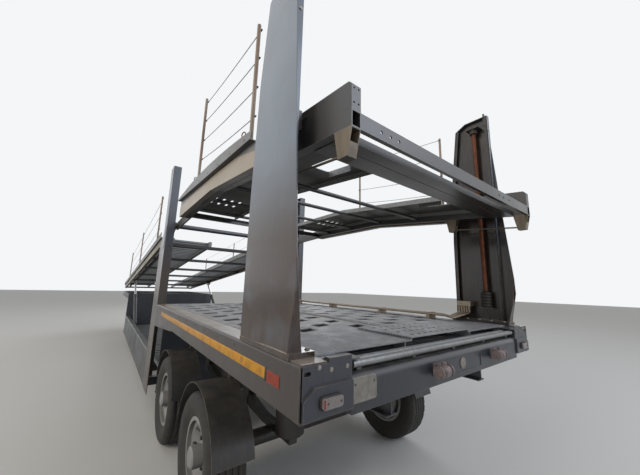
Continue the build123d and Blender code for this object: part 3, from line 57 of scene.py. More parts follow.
def at(ahead):
    """Place along the trailer, measured forward from the rear face of the rear beam, in metres."""
    return rear_x + ahead


# %% [markdown]
# ## Surfaces from grids
# Every added piece is a grid of points worked out with numpy. A profile that is turned about an axis,
# or carried along a path, fills the grid at once, and quads join each point to its neighbours.
# Modelling tools and modifiers could do the same, but a formula keeps each size in sight and runs in a
# moment. Repeated pieces, such as bolts, are copies of one small grid, joined into one mesh.

# %% Grid helpers
def grid_faces(rows, columns, wrap_rows=False, wrap_columns=False):
    """Corner numbers of the quads of a grid. Point (i, j) has number i * columns + j."""
    i = np.arange(rows if wrap_rows else rows - 1)
    j = np.arange(columns if wrap_columns else columns - 1)
    i, j = np.meshgrid(i, j, indexing="ij")
    i2, j2 = (i + 1) % rows, (j + 1) % columns
    corners = [i * columns + j, i2 * columns + j, i2 * columns + j2, i * columns + j2]
    return np.stack(corners, axis=-1).reshape(-1, 4)


def around(steps):
    """Angles of that many equal steps round a circle, from 0 on and without the full turn."""
    return np.linspace(0, 2 * math.pi, steps, endpoint=False)


def turned(profile, steps):
    """Profile of (radius r, height h) turned about Z: at angle a the point is (r cos a, r sin a, h)."""
    r, h = np.array(profile, float).T
    a = around(steps)
    points = np.stack([np.outer(r, np.cos(a)), np.outer(r, np.sin(a)), np.outer(h, np.ones(steps))], -1)
    return points.reshape(-1, 3), grid_faces(len(r), steps, wrap_columns=True)[:, ::-1]


def swept(path, radius, steps):
    """Tube: at each point of the path stands a ring, path + radius * (cos a * side + sin a * up)."""
    path = np.array(path, float)
    along = np.gradient(path, axis=0)
    along /= np.linalg.norm(along, axis=1)[:, None]
    side = np.cross(along, np.where(np.abs(along[:, 2:]) > 0.9, [[1.0, 0, 0]], [[0, 0, 1.0]]))
    side /= np.linalg.norm(side, axis=1)[:, None]
    up = np.cross(side, along)
    a = around(steps)[None, :, None]
    points = path[:, None] + radius * (np.cos(a) * side[:, None] + np.sin(a) * up[:, None])
    return points.reshape(-1, 3), grid_faces(len(path), steps, wrap_columns=True)


print("a grid of 3 by 4 points has", len(grid_faces(3, 4)), "quads")

# %% Copies, mirror images and one mesh of many shapes
def copies(shape, places, direction):
    """Many copies: with z the direction and x across it, a point p moves to place + p.x x + p.y y + p.z z."""
    points, faces = shape
    z = np.array(direction, float) / np.linalg.norm(direction)
    x = np.cross([0, 1.0, 0] if abs(z[1]) < 0.9 else [0, 0, 1.0], z)
    x /= np.linalg.norm(x)
    turned_points = points @ np.stack([x, np.cross(z, x), z])
    places = np.array(places, float).reshape(-1, 3)
    all_points = (places[:, None] + turned_points[None]).reshape(-1, 3)
    shift = (np.arange(len(places)) * len(points))[:, None, None]
    return all_points, (faces[None] + shift).reshape(-1, 4)


def joined(*shapes):
    """Several shapes as one, with the corner numbers of the later ones moved on."""
    starts = np.cumsum([0] + [len(points) for points, _ in shapes[:-1]])
    faces = np.concatenate([faces + start for (_, faces), start in zip(shapes, starts)])
    return np.concatenate([points for points, _ in shapes]), faces


def both_sides(shape):
    """The shape and its mirror image, where y changes sign and the corners run the other way round."""
    points, faces = shape
    return joined(shape, (points * [1, -1, 1], faces[:, ::-1]))


print("a turned cone and its mirror image have", len(both_sides(turned([(1, 0), (0, 1)], 8))[1]), "quads")

# %% Adding a piece, and a thin strip
def add_piece(name, shape, material, body, smooth=True):
    """Mesh object from points and quads, that rides on a CAD body."""
    points, faces = shape
    mesh = bpy.data.meshes.new(name)
    mesh.vertices.add(len(points))
    mesh.vertices.foreach_set("co", points.astype(np.float32).ravel())
    mesh.loops.add(faces.size)
    mesh.loops.foreach_set("vertex_index", faces.astype(np.int32).ravel())
    mesh.polygons.add(len(faces))
    mesh.polygons.foreach_set("loop_start", np.arange(0, faces.size, 4, dtype=np.int32))
    mesh.polygons.foreach_set("loop_total", np.full(len(faces), 4, dtype=np.int32))
    mesh.polygons.foreach_set("use_smooth", np.full(len(faces), smooth))
    mesh.update(calc_edges=True)
    mesh.validate()
    mesh.materials.append(material)
    piece = bpy.data.objects.new(name, mesh)
    bpy.context.scene.collection.objects.link(piece)
    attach(piece, body)
    print("piece", name, len(faces), "quads on", body)
    return piece


def band(x, y, z, rise, edge=0.0008):
    """Strip on an upright face: y grows by rise * lift(x) * lift(z), lift being 0 at the rim and 1 inside."""
    lift = np.array([0, 1, 1, 0])
    x, z = (np.array([low, low + edge, high - edge, high]) for low, high in (x, z))
    across, upward = np.meshgrid(x, z, indexing="ij")
    points = np.stack([across, y + rise * np.outer(lift, lift), upward], -1)
    return points.reshape(-1, 3), grid_faces(4, 4)[:, ::-1]


print("a strip has", len(band((0, 1), 0, (0, 1), 0.001)[1]), "quads")

# %% [markdown]
# ## Nodes and colours
# Each finish is a small tree of shader nodes. Drawn by hand, every node and link takes steps of its own,
# so one function adds a node with its settings and links. Another turns the hex colours that a paint
# chart gives into the linear values that Blender wants.

# %% Shader helpers
def linear(code):
    """sRGB hex colour as linear red, green, blue and alpha 1: c / 12.92, or ((c + 0.055) / 1.055) ^ 2.4."""
    parts = [int(code[i:i + 2], 16) / 255 for i in (1, 3, 5)]
    return [c / 12.92 if c <= 0.04045 else ((c + 0.055) / 1.055) ** 2.4 for c in parts] + [1.0]


def add_node(tree, kind, inputs=None, **settings):
    """Adds a node: settings are its properties, inputs its sockets' values or the outputs to link."""
    node = tree.nodes.new(kind)
    for key, value in settings.items():
        setattr(node, key, value)
    for key, value in (inputs or {}).items():
        if isinstance(value, bpy.types.NodeSocket):
            tree.links.new(value, node.inputs[key])
        else:
            node.inputs[key].default_value = value
    return node


def new_material(name):
    """Empty material with its output, principled shader and object coordinates."""
    material = bpy.data.materials.new(name)
    material.use_nodes = True
    tree = material.node_tree
    tree.nodes.clear()
    shader = add_node(tree, "ShaderNodeBsdfPrincipled")
    add_node(tree, "ShaderNodeOutputMaterial", {"Surface": shader.outputs[0]})
    where = add_node(tree, "ShaderNodeTexCoord").outputs["Object"]
    return material, tree, shader, where


print("the paint colour #8b7f6a is", [round(c, 3) for c in linear("#8b7f6a")[:3]], "in linear light")

# %% Masks and layers
def mask(tree, where, size, low, high, detail=3.0, stretch=(1, 1, 1)):
    """Soft patches about size metres across: noise between low and high becomes 0 to 1."""
    scaled = add_node(tree, "ShaderNodeMapping", {"Vector": where, "Scale": stretch})
    noise = add_node(tree, "ShaderNodeTexNoise",
                     {"Vector": scaled.outputs[0], "Scale": 1 / size, "Detail": detail, "Roughness": 0.6})
    return add_node(tree, "ShaderNodeMapRange",
                    {"Value": noise.outputs[0], "From Min": low, "From Max": high}).outputs[0]


def layered(tree, colour, *coats):
    """Coats over a colour: each has a share and a colour, and gives below * (1 - share) + coat * share."""
    for share, coat in coats:
        colour = add_node(tree, "ShaderNodeMix", {"Factor": share, 6: colour, 7: coat},
                          data_type="RGBA").outputs[2]
    return colour


def times(tree, *values):
    """Product of several masks or numbers."""
    result = values[0]
    for value in values[1:]:
        result = add_node(tree, "ShaderNodeMath", {0: result, 1: value}, operation="MULTIPLY").outputs[0]
    return result


def facing_up(tree, low, high):
    """Height part of the surface's direction, 1 on a level top and -1 below: low to high becomes 0 to 1."""
    direction = add_node(tree, "ShaderNodeNewGeometry").outputs["True Normal"]
    parts = add_node(tree, "ShaderNodeSeparateXYZ", {0: direction}).outputs
    return add_node(tree, "ShaderNodeMapRange",
                    {"Value": parts["Z"], "From Min": low, "From Max": high}).outputs[0]


def edge_mask(tree, radius):
    """0 on flat faces and 1 at edges: how far the direction rounded over the radius leaves the true one."""
    rounded = add_node(tree, "ShaderNodeBevel", {"Radius": radius}, samples=4).outputs[0]
    true = add_node(tree, "ShaderNodeNewGeometry").outputs["True Normal"]
    match = add_node(tree, "ShaderNodeVectorMath", {0: rounded, 1: true}, operation="DOT_PRODUCT")
    return add_node(tree, "ShaderNodeMapRange",
                    {"Value": match.outputs["Value"], "From Min": 0.97, "From Max": 0.8}).outputs[0]


def bumped(tree, where, size, depth, detail, strength):
    """Surface direction of a grain about size metres across and depth metres deep."""
    grain = add_node(tree, "ShaderNodeTexNoise", {"Vector": where, "Scale": 1 / size, "Detail": detail})
    return add_node(tree, "ShaderNodeBump",
                    {"Height": grain.outputs[0], "Distance": depth, "Strength": strength}).outputs[0]


shader_helpers = (mask, layered, times, facing_up, edge_mask, bumped)
print("shader helpers:", [helper.__name__ for helper in shader_helpers])

# %% [markdown]
# ## Painted steel
# The frame is blasted steel under satin two-pack paint. Years of road work leave brown dust in soft
# patches, runs below the edges, rust at chips, and a slight orange peel that breaks up the reflections.
# One colour with one noise would look like plastic. Noise at each of the real sizes, mixed in the order
# in which the layers came, gives the same look as the real coats. Some colours are painted light instead:
# shade on undersides and inward faces, highlights on edges, and a reflection of the sky on the rear posts.

# %% Sizes of the paint's patterns, in metres
cloud_size = 0.7
streak_width, streak_stretch, streak_patch = 0.03, (1, 1, 0.12), 0.4
dust_patch, lower_colour_patch = 0.12, 0.5
chip_size = 0.016
peel_size, peel_depth = 0.003, 0.0001
# Edges within this reach get a painted highlight with rubbed paint, in patches of this size.
edge_reach, edge_patch = 0.006, 0.05
lower_colour_top, lower_colour_foot = 2.5, 2.0
outer_from = 1.16
# Colours of the painted shade on undersides, and of the painted highlight with rubbed paint on edges.
underside_shade_colour, edge_highlight_and_wear = "#1c1a19", "#8d8074"
print("orange peel", peel_size, "m, chips", chip_size, "m, streaks", streak_width, "m")

# %% Painted steel
def painted_steel(name, coat, shade, dust, rust="#553c2e", rough=0.42, runs=0.3, chips=0.7, top=None,
                  outer=None, inner=None, lower_colour=None):
    """Satin paint: each layer in turn gives below * (1 - share) + layer * share, its share being a mask.
    The layers are clouds of shade, a lower colour between two heights, paler level tops, an outer part,
    painted shade with grease on faces that look inward, runs, settled dust, rust in chips, painted shade
    on undersides and painted highlights with rubbed paint on edges."""
    material, tree, shader, where = new_material(name)
    shader.inputs["IOR"].default_value = 1.5
    shader.inputs["Coat Weight"].default_value = 0.25
    shader.inputs["Coat Roughness"].default_value = 0.3
    place = add_node(tree, "ShaderNodeSeparateXYZ", {0: where}).outputs
    clouds = mask(tree, where, cloud_size, 0.35, 0.7)
    streaks = times(tree, mask(tree, where, streak_width, 0.45, 0.8, stretch=streak_stretch),
                    mask(tree, where, streak_patch, 0.4, 0.65), runs)
    settled = times(tree, facing_up(tree, 0.4, 1.0), mask(tree, where, dust_patch, 0.3, 0.75), 0.75)
    spots = mask(tree, where, chip_size, chips, chips + 0.03, detail=5.0)
    # Painted shade: faces that look down turn nearly black.
    underside_shade_share = times(tree, facing_up(tree, -0.2, -0.7), 0.8)
    # Painted highlight with rubbed paint: edges turn pale in patches.
    edge_highlight_and_wear_share = times(tree, edge_mask(tree, edge_reach), mask(tree, where, edge_patch, 0.3, 0.6), 0.6)
    colour = layered(tree, linear(coat), (clouds, linear(shade)))
    # A second colour towards the bottom, fading in between two heights, in patches.
    if lower_colour:
        low = add_node(tree, "ShaderNodeMapRange",
                       {"Value": place["Z"], "From Min": lower_colour_top, "From Max": lower_colour_foot}).outputs[0]
        lower_share = times(tree, low, mask(tree, where, lower_colour_patch, 0.1, 0.45))
        colour = layered(tree, colour, (lower_share, linear(lower_colour)))
    if top:
        colour = layered(tree, colour, (facing_up(tree, 0.9, 0.95), linear(top)))
    if outer:
        far = add_node(tree, "ShaderNodeMath", {0: place["Y"]}, operation="ABSOLUTE").outputs[0]
        far = add_node(tree, "ShaderNodeMath", {0: far, 1: outer_from}, operation="GREATER_THAN").outputs[0]
        colour = layered(tree, colour, (far, linear(outer)))
    # Painted shade with grease: faces that look inward turn dark.
    if inner:
        direction = add_node(tree, "ShaderNodeNewGeometry").outputs["True Normal"]
        outward = add_node(tree, "ShaderNodeSeparateXYZ", {0: direction}).outputs["Y"]
        inward = add_node(tree, "ShaderNodeMapRange",
                          {"Value": times(tree, outward, place["Y"]), "From Min": -0.6, "From Max": -1.1})
        colour = layered(tree, colour, (inward.outputs[0], linear(inner)))
    colour = layered(tree, colour, (streaks, linear(dust)), (settled, linear(dust)), (spots, linear(rust)),
                     (underside_shade_share, linear(underside_shade_colour)), (edge_highlight_and_wear_share, linear(edge_highlight_and_wear)))
    worn = add_node(tree, "ShaderNodeMath", {0: clouds, 1: spots}, operation="ADD").outputs[0]
    dull = add_node(tree, "ShaderNodeMapRange",
                    {"Value": worn, "To Min": rough - 0.08, "To Max": rough + 0.12})
    tree.links.new(colour, shader.inputs["Base Color"])
    tree.links.new(dull.outputs[0], shader.inputs["Roughness"])
    tree.links.new(bumped(tree, where, peel_size, peel_depth, 1.0, 0.5), shader.inputs["Normal"])
    return material


print("painted steel: splash fades out between", lower_colour_foot, "and", lower_colour_top, "m")

# %% Grey and blue-grey paints
# Smooth paint on the tall plates. Its light blue-grey is a painted reflection of the sky on darker paint;
# towards the bottom it turns darker and brown, and faces that look inward get painted shade with grease.
post_paint = painted_steel("satin_grey_post_paint", "#73808f", "#68727f", "#6f6052", rough=0.2, runs=0.35,
                           inner="#2f2926", lower_colour="#3f332d")
# A darker blue-grey that is a little rougher: the middle posts look duller than the rear ones.
mid_post_paint = painted_steel("satin_blue_grey_post_paint", "#565c66", "#4c515a", "#6f6052", rough=0.3,
                               lower_colour="#4a423d")
# Brown-black sides with a pale level top, so that the sill's upper edge shows as a light line.
sill_paint = painted_steel("satin_sill_paint", "#332f2e", "#3f3936", "#6b5e51", rough=0.36, top="#8d8274")
# Dark blue-grey, half dull: the frame's flat faces show little else than their dust.
beam_paint = painted_steel("satin_blue_grey_paint", "#383d45", "#30333a", "#625b53", rough=0.4)
# A darker copy of the beam paint: painted shade of the tubes, so the rear beam looks nearly black.
rear_shade_paint = painted_steel("satin_rear_beam_paint", "#2a2e36", "#23262c", "#625b53", rough=0.36)
# Near-black satin: the cross beams read as dark lines against the sky.
platform_paint = painted_steel("satin_platform_paint", "#38393c", "#403e3d", "#5f554a", rough=0.36)
# The same, but the outermost face of the side beams is faded to a dusty beige.
side_paint = painted_steel("satin_platform_side_paint", "#38393c", "#403e3d", "#5f554a", rough=0.36,
                           outer="#a09380")
grey_paints = (post_paint, mid_post_paint, sill_paint, beam_paint, rear_shade_paint, platform_paint, side_paint)
print("grey paints:", len(grey_paints))

# %% Beige, black and silver paints
# Chalky old beige, nearly matt and with many runs.
beige_paint = painted_steel("worn_beige_paint", "#8b7f6a", "#776b59", "#5f5142", rough=0.5, runs=0.5)
# Cream primer that was never painted over: matt, and brown all down its runs.
cream_primer = painted_steel("cream_primer_paint", "#857a66", "#5f5343", "#43332a", rough=0.55, runs=0.9)
# Black chassis paint under road dust, which swallows the light below the deck.
black_paint = painted_steel("black_chassis_paint", "#242425", "#2e2c2a", "#5e5549", rough=0.5)
# Silver wheel paint without sparkle, so the rims are the palest thing in the shade.
wheel_paint = painted_steel("silver_wheel_paint", "#8f908e", "#7d7d7b", "#6d6255", rough=0.45, runs=0.2)
print("other paints:", len((beige_paint, cream_primer, black_paint, wheel_paint)))

# %% [markdown]
# ## Galvanised steel
# The tracks, tubes and kerbs are dipped in molten zinc. The zinc freezes in crystals about 15 mm
# across, each a slightly different grey, and weathers to a dull grey with brown dirt where feet and
# tyres leave it. Smooth noise has no crystal edges, so the cells of a Voronoi pattern stand for the
# crystals, on a metal that is fairly rough.

# %% Galvanised steel
crystal_size = 0.015
tread_patch, wash_patch = 0.16, 0.9
pit_size, pit_depth = 0.006, 0.0002
shaded_zinc = "#36322f"


def galvanised_steel(name, zinc, pale, dirt, dirty):
    """Zinc: each crystal is zinc * (1 - g) + pale * g for its own grey g, then dirt lies on level faces and
    painted shade below. Where the dirt's share s is high, metallic falls and roughness rises with it."""
    material, tree, shader, where = new_material(name)
    cells = add_node(tree, "ShaderNodeTexVoronoi", {"Vector": where, "Scale": 1 / crystal_size})
    grey = add_node(tree, "ShaderNodeSeparateColor", {0: cells.outputs["Color"]}).outputs[0]
    dust = times(tree, facing_up(tree, 0.2, 0.9),
                 mask(tree, where, tread_patch, 0.62 - dirty, 0.8 - dirty / 2))
    grime = add_node(tree, "ShaderNodeMath", {0: dust, 1: mask(tree, where, wash_patch, 0.3, 0.75)},
                     operation="MAXIMUM").outputs[0]
    soft = times(tree, grime, dirty)
    # Painted shade: faces that look down turn dark.
    under = times(tree, facing_up(tree, -0.3, -0.8), 0.8)
    colour = layered(tree, linear(zinc), (grey, linear(pale)), (soft, linear(dirt)),
                     (under, linear(shaded_zinc)))
    metal = add_node(tree, "ShaderNodeMapRange", {"Value": soft, "To Min": 0.75, "To Max": 0.1})
    dull = add_node(tree, "ShaderNodeMapRange", {"Value": soft, "To Min": 0.42, "To Max": 0.8})
    tree.links.new(colour, shader.inputs["Base Color"])
    tree.links.new(metal.outputs[0], shader.inputs["Metallic"])
    tree.links.new(dull.outputs[0], shader.inputs["Roughness"])
    tree.links.new(bumped(tree, where, pit_size, pit_depth, 2.0, 0.5), shader.inputs["Normal"])
    return material


# Weathered zinc that still shines softly: kerbs and tubes are lighter than the paint beside them.
clean_zinc = galvanised_steel("galvanised_steel", "#87898a", "#9a9c9d", "#5d554c", 0.4)
# Zinc polished by tyres and browned by feet, the palest floor on the trailer.
deck_zinc = galvanised_steel("trodden_galvanised_steel", "#999ca1", "#afb2b6", "#6b6259", 0.5)
# Zinc-plated pipes under old oil, which look tan.
pipe_zinc = galvanised_steel("zinc_plated_tube", "#a19382", "#b0a290", "#63533f", 0.45)
# Thin stanchions whose zinc is gone in places: light brown with little shine.
rail_zinc = galvanised_steel("rusted_rail_zinc", "#8b7f72", "#96897b", "#6b5443", 0.7)
print("galvanised finishes:", len((clean_zinc, deck_zinc, pipe_zinc, rail_zinc)))

# %% [markdown]
# ## Rubber, bright steel, grease and lenses
# Tyre rubber is matt and slightly brown with dust. The lifting rods are ground and chromed, so they
# mirror. The spindles are turned steel under old orange-brown grease. Lamp lenses are clear or tinted
# acrylic, glossy, with the light coming back from a bright reflector behind them. These parts are small
# or dark, so two colours in patches and a fine grain are enough for each.

# %% Simple finish
grain_size = 0.004
rubber_ior, acrylic_ior = 1.52, 1.49


def plain_finish(name, colour, shade, size, rough, metallic=0.0, depth=0.0, coat=0.0, ior=1.5):
    """Patches size metres across: colour * (1 - m) + shade * m for a mask m, roughness rough + 0.1 m."""
    material, tree, shader, where = new_material(name)
    shader.inputs["IOR"].default_value = ior
    shader.inputs["Metallic"].default_value = metallic
    shader.inputs["Coat Weight"].default_value = coat
    patches = mask(tree, where, size, 0.35, 0.7)
    tree.links.new(layered(tree, linear(colour), (patches, linear(shade))), shader.inputs["Base Color"])
    dull = add_node(tree, "ShaderNodeMapRange", {"Value": patches, "To Min": rough, "To Max": rough + 0.1})
    tree.links.new(dull.outputs[0], shader.inputs["Roughness"])
    if depth:
        tree.links.new(bumped(tree, where, grain_size, depth, 2.0, 0.6), shader.inputs["Normal"])
    return material


print("grain", grain_size, "m")

# %% Rubbers
# Vulcanised rubber greyed by road dust: matt, so that only the grooves' shadows draw the tread.
tyre_rubber = plain_finish("tyre_rubber", "#2a2928", "#3a3733", 0.09, 0.75, depth=0.0003, ior=rubber_ior)
# Moulded bellows rubber, darker and a little smoother, under the chassis.
bag_rubber = plain_finish("air_spring_rubber", "#232323", "#2f2d2b", 0.1, 0.6, depth=0.0002, ior=rubber_ior)
# Soft black seats and clips, half matt, that frame the lamps and the tape.
black_rubber = plain_finish("black_moulded_rubber", "#1f1f1f", "#2b2a29", 0.03, 0.55, ior=rubber_ior)
print("rubbers:", len((tyre_rubber, bag_rubber, black_rubber)))

# %% Metals
# Ground hard chrome: a clear mirror, which the lifting rods alone have.
chrome = plain_finish("ground_chrome", "#c9cacb", "#bfc0c2", 0.2, 0.12, metallic=1.0)
# Turned steel under old grease: wet orange-brown, glossy along the thread's crests.
greased_steel = plain_finish("greased_spindle_steel", "#7a3d17", "#4f2b14", 0.05, 0.3, metallic=0.55,
                             coat=0.4)
# Cast iron with a sandy skin: dark brown-grey and dull.
cast_iron = plain_finish("machined_cast_iron", "#3a3735", "#4a443e", 0.08, 0.55, metallic=0.5, depth=0.0003)
# Zinc-plated bolt heads, small pale glints.
zinc_bolt = plain_finish("zinc_plated_bolt", "#a7a49c", "#8c8375", 0.02, 0.38, metallic=0.85)
# Blackened bolts, rivets and rings that are starting to rust.
dark_bolt = plain_finish("blackened_bolt", "#3c3936", "#54483c", 0.02, 0.45, metallic=0.7)
# Stranded wire, a thin grey line with a soft shine.
rope_wire = plain_finish("galvanised_wire_rope", "#8b8c8b", "#6d6a65", 0.02, 0.45, metallic=0.8)
# Worn bronze-coloured castings of the ramp couplings: pinkish, sandy and dull.
pink_bronze = plain_finish("worn_coupling_casting", "#8a7c7b", "#665c5c", 0.03, 0.5, metallic=0.2,
                           depth=0.0003)
# Weld metal left bare after grinding, a pale rough line.
pale_weld = plain_finish("ground_weld_steel", "#9a8f84", "#7d7168", 0.03, 0.45, metallic=0.5, depth=0.0003)
metals = (chrome, greased_steel, cast_iron, zinc_bolt, dark_bolt, rope_wire, pink_bronze, pale_weld)
print("metals:", len(metals))

# %% Lenses, enamel and moulded plastic
# Tinted acrylic: deep orange, with a soft highlight from the moulded pattern.
orange_lens = plain_finish("orange_acrylic_lens", "#96300c", "#7a2408", 0.03, 0.25, ior=acrylic_ior)
# Red acrylic, smoother, with a sharp highlight.
red_lens = plain_finish("red_acrylic_lens", "#8f2018", "#771813", 0.03, 0.15, coat=0.6, ior=acrylic_ior)
# Clear acrylic that has yellowed and clouded: glossy, but pale grey all through.
pale_lens = plain_finish("clear_acrylic_lens", "#857d7b", "#716967", 0.02, 0.2, coat=0.6, ior=acrylic_ior)
# Stoved enamel on a thin plate, grey with dirt.
plate_enamel = plain_finish("blank_enamelled_plate", "#89867e", "#6f6a61", 0.05, 0.4)
# A moulded cap of pale plastic, half matt.
pale_cap = plain_finish("pale_moulded_cap", "#8f877f", "#766e66", 0.03, 0.5)
print("lenses and covers:", len((orange_lens, red_lens, pale_lens, plate_enamel, pale_cap)))

# %% [markdown]
# ## Which finish each solid gets
# A CAD node keeps its mesh. Only its material slot is filled, so that a shape that is right stays. Each
# solid could be picked and dressed in a line of its own, but one list reads like a paint plan, and what
# it leaves out can be counted.

# %% Finishes of the CAD nodes
finishes = {
    post_paint: ["rear_posts"],
    mid_post_paint: ["mid_posts", "hinge_tube"],
    sill_paint: ["rear_sills"],
    rear_shade_paint: ["rear_beam"],
    beam_paint: ["corner_boxes", "chassis_rails", "deck_members", "neck_frame", "well_rear_wall",
                 "well_members", "well_sills", "coupling_plate"],
    side_paint: ["upper_rear_beams"],
    platform_paint: ["upper_rear_crossbeams", "upper_front_crossbeams", "spindle_nuts"],
    beige_paint: ["upper_front_beams"],
    cream_primer: ["upper_rear_brackets"],
    clean_zinc: ["ramp_tubes", "well_tracks", "upper_rear_tracks", "upper_front_tracks",
                 "upper_rear_walkways", "upper_front_walkways"],
    rail_zinc: ["rear_stanchions", "front_stanchions"],
    deck_zinc: ["deck_tracks", "rear_apron"],
    pipe_zinc: ["hydraulic_pipes"],
    black_paint: ["axle_front", "axle_rear", "trailing_arms", "arm_hangers", "landing_legs", "mudguards",
                  "lift_barrels", "lift_pins"],
    bag_rubber: ["air_springs"],
    chrome: ["lift_rods"],
    cast_iron: ["kingpin", "lift_spindles"],
    pink_bronze: ["ramp_couplings"],
    orange_lens: ["side_markers"],
    pale_lens: ["rear_lamps"],
    tyre_rubber: [name for name in nodes if name.startswith("tyre_")],
    wheel_paint: [name for name in nodes if name.startswith(("rim_", "hub_"))],
}
for material, names in finishes.items():
    for name in names:
        for slot in nodes[name].material_slots:
            slot.material = material
unfinished = set(nodes) - {name for names in finishes.values() for name in names}
print("finished nodes:", len(nodes) - len(unfinished), "left plain:", sorted(unfinished))

# %% [markdown]
# ## Bolts and rivets
# Bolts hold the posts' feet and heads and the corner boxes, and rivets hold the sills and the walkways'
# kerbs. A bolt is a washer and a head with six flats and a slightly crowned top: a profile turned with
# six steps gives the head, and one turned with many gives the washer. Rivets are low domes. They could
# be linked copies of one object, but a single mesh of copies rides on its body as one piece.

# %% Small fasteners
def bolt(radius):
    """Hexagon head on a washer: both are turned profiles, the head with 6 steps and the washer with 20."""
    washer = turned([(0.0, 0.0), (1.5, 0.0), (1.5, 0.22), (0.0, 0.22)], 20)
    head = turned([(0.0, 0.22), (1.1, 0.22), (1.1, 0.75), (0.92, 0.9), (0.0, 0.95)], 6)
    points, faces = joined(washer, head)
    return points * radius, faces


def rivet(radius, height):
    """Low dome: at share t of the radius the height is height times (1 - t squared)."""
    t = np.linspace(1, 0, 5)
    return turned(np.stack([radius * t, height * (1 - t ** 2)], -1), 12)


backward, outward, upward = (-1, 0, 0), (0, 1, 0), (0, 0, 1)
print("a bolt has", len(bolt(1)[1]), "quads, a rivet", len(rivet(1, 1)[1]))

# %% Bolts of the posts' feet
foot_plate_top = deck_top + 0.025
foot_bolt_y = side_face - 0.126
foot_bolts = [(at(x), foot_bolt_y, foot_plate_top) for x in np.linspace(0.13, 0.58, 5)]
add_piece("post_foot_bolts", both_sides(copies(bolt(0.009), foot_bolts, upward)), zinc_bolt, "chassis",
          smooth=False)

# %% Rivets of the sills
sill_rivet_z = 1.412
sill_rivets = [(at(x), side_face, sill_rivet_z) for x in np.arange(0.7, 3.6, 0.31)]
add_piece("sill_rivets", both_sides(copies(rivet(0.007, 0.0028), sill_rivets, outward)), dark_bolt, "chassis")

# %% Bolts of the corner boxes
# Places across the trailer and heights, read from the photograph through the solved camera.
corner_bolts = [(at(0), 1.015, 1.416), (at(0), 1.108, 1.414), (at(0), 1.173, 1.43)]
add_piece("corner_bolts", both_sides(copies(bolt(0.007), corner_bolts, backward)), zinc_bolt, "chassis",
          smooth=False)

# %% Rivets of the walkway's kerb
kerb_front = float(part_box("upper_rear_walkways")[1][0]) - rear_x
first_rivet_z, rivet_rise = 2.755, 0.0541
kerb_rivets = [(at(x), side_face, first_rivet_z + (x - 0.7) * rivet_rise)
               for x in np.arange(0.8, kerb_front, 0.3)]
add_piece("kerb_rivets", both_sides(copies(rivet(0.008, 0.0028), kerb_rivets, outward)), dark_bolt,
          "rear_platform")

# %% [markdown]
# ## Rear posts
# Each rear post is a wide plate, narrower toward its head, with a shallow channel welded to its inner
# side that guides the lifting nut. The solid's flanges are deeper than the real ones, so these surfaces
# stand in for it. Cutting the solid would leave long thin faces that shade badly. Instead the plate is
# a grid of height by the points round its edge, and the channel is a flat strip carried along a bent
# path, so every bend has clean quads.

# %% Plates and channels
def closed_tube(rings):
    """Rings of points joined in their order, with both ends drawn together at their middle."""
    ends = np.broadcast_to(rings.mean(axis=1, keepdims=True), rings.shape)
    rings = np.concatenate([ends[:1], rings, ends[-1:]])
    return rings.reshape(-1, 3), grid_faces(len(rings), rings.shape[1], wrap_columns=True)[:, ::-1]


def slab(heights, x_low, x_high, y_low, y_high, edge=0.0015):
    """Upright plate: at each height a rectangle of the x and y spans with cut corners; ends closed."""
    spans = [np.array(v, float) for v in (heights, x_low, x_high, y_low, y_high)]
    z, x0, x1, y0, y1 = np.broadcast_arrays(*spans)
    ring_x = np.stack([x0 + edge, x1 - edge, x1, x1, x1 - edge, x0 + edge, x0, x0], -1)
    ring_y = np.stack([y0, y0, y0 + edge, y1 - edge, y1, y1, y1 - edge, y0 + edge], -1)
    points = np.stack([ring_x, ring_y, np.broadcast_to(z[:, None], ring_x.shape)], -1)
    return closed_tube(points)


def channel_strip(path, thickness, y_low, y_high):
    """Flat strip along a path in x and z: its inner side is the path moved by the mitred normal."""
    path = np.array(path, float)
    along = np.diff(path, axis=0)
    along /= np.linalg.norm(along, axis=1)[:, None]
    before, after = np.concatenate([along[:1], along]), np.concatenate([along, along[-1:]])
    miter = (before + after) / (1 + (before * after).sum(1))[:, None]
    inner = path + thickness * np.stack([miter[:, 1], -miter[:, 0]], -1)
    corners = [(path, y_high), (path, y_low), (inner, y_low), (inner, y_high)]
    rings = np.stack([np.stack([p[:, 0], np.full(len(p), y), p[:, 1]], -1) for p, y in corners], 1)
    return closed_tube(rings)


print("a plate between two heights has", len(slab([0, 1], 0, 1, 0, 1)[1]), "quads")

# %% Sizes of the rear post, read from the photograph through the solved camera
post_top = 3.7
plate_thickness, lip_thickness = 0.008, 0.006
plate_inner, channel_inner = side_face - plate_thickness, side_face - 0.046
channel_rear = 0.158
# Each row is a height and how far ahead of the rear face the edge lies at that height.
post_rear_edge = np.array([(foot_plate_top, 0.1), (1.534, 0.093), (1.639, 0.072), (1.744, 0.052),
                           (1.887, 0.055), (2.602, 0.11), (2.931, 0.13), (3.337, 0.156), (post_top, 0.156)])
post_front_edge = np.array([(foot_plate_top, 0.618), (2.3, 0.612), (3.05, 0.583), (3.64, 0.512),
                            (post_top, 0.4)])
levels = np.union1d(post_rear_edge[:, 0], post_front_edge[:, 0])
rear_at, front_at = (at(np.interp(levels, *edge.T)) for edge in (post_rear_edge, post_front_edge))
print("post", round(post_top - foot_plate_top, 3), "m high with", len(levels), "levels")

# %% Plate, channel and its lips
plate = slab(levels, rear_at, front_at, plate_inner, side_face)
channel_path = [(at(channel_rear), foot_plate_top), (at(channel_rear), post_top)]
channel_path += [(at(x), z) for z, x in post_front_edge[::-1]]
channel = channel_strip(channel_path, plate_thickness, channel_inner, plate_inner)
lip_inner = channel_inner + lip_thickness
rear_lip = slab([foot_plate_top, 3.69], at(0.16), at(0.188), channel_inner, lip_inner)
front_lip = slab(levels[:-1], front_at[:-1] - 0.036, front_at[:-1] - 0.004, channel_inner, lip_inner)
print("channel", round((side_face - channel_inner) * 1000), "mm deep")

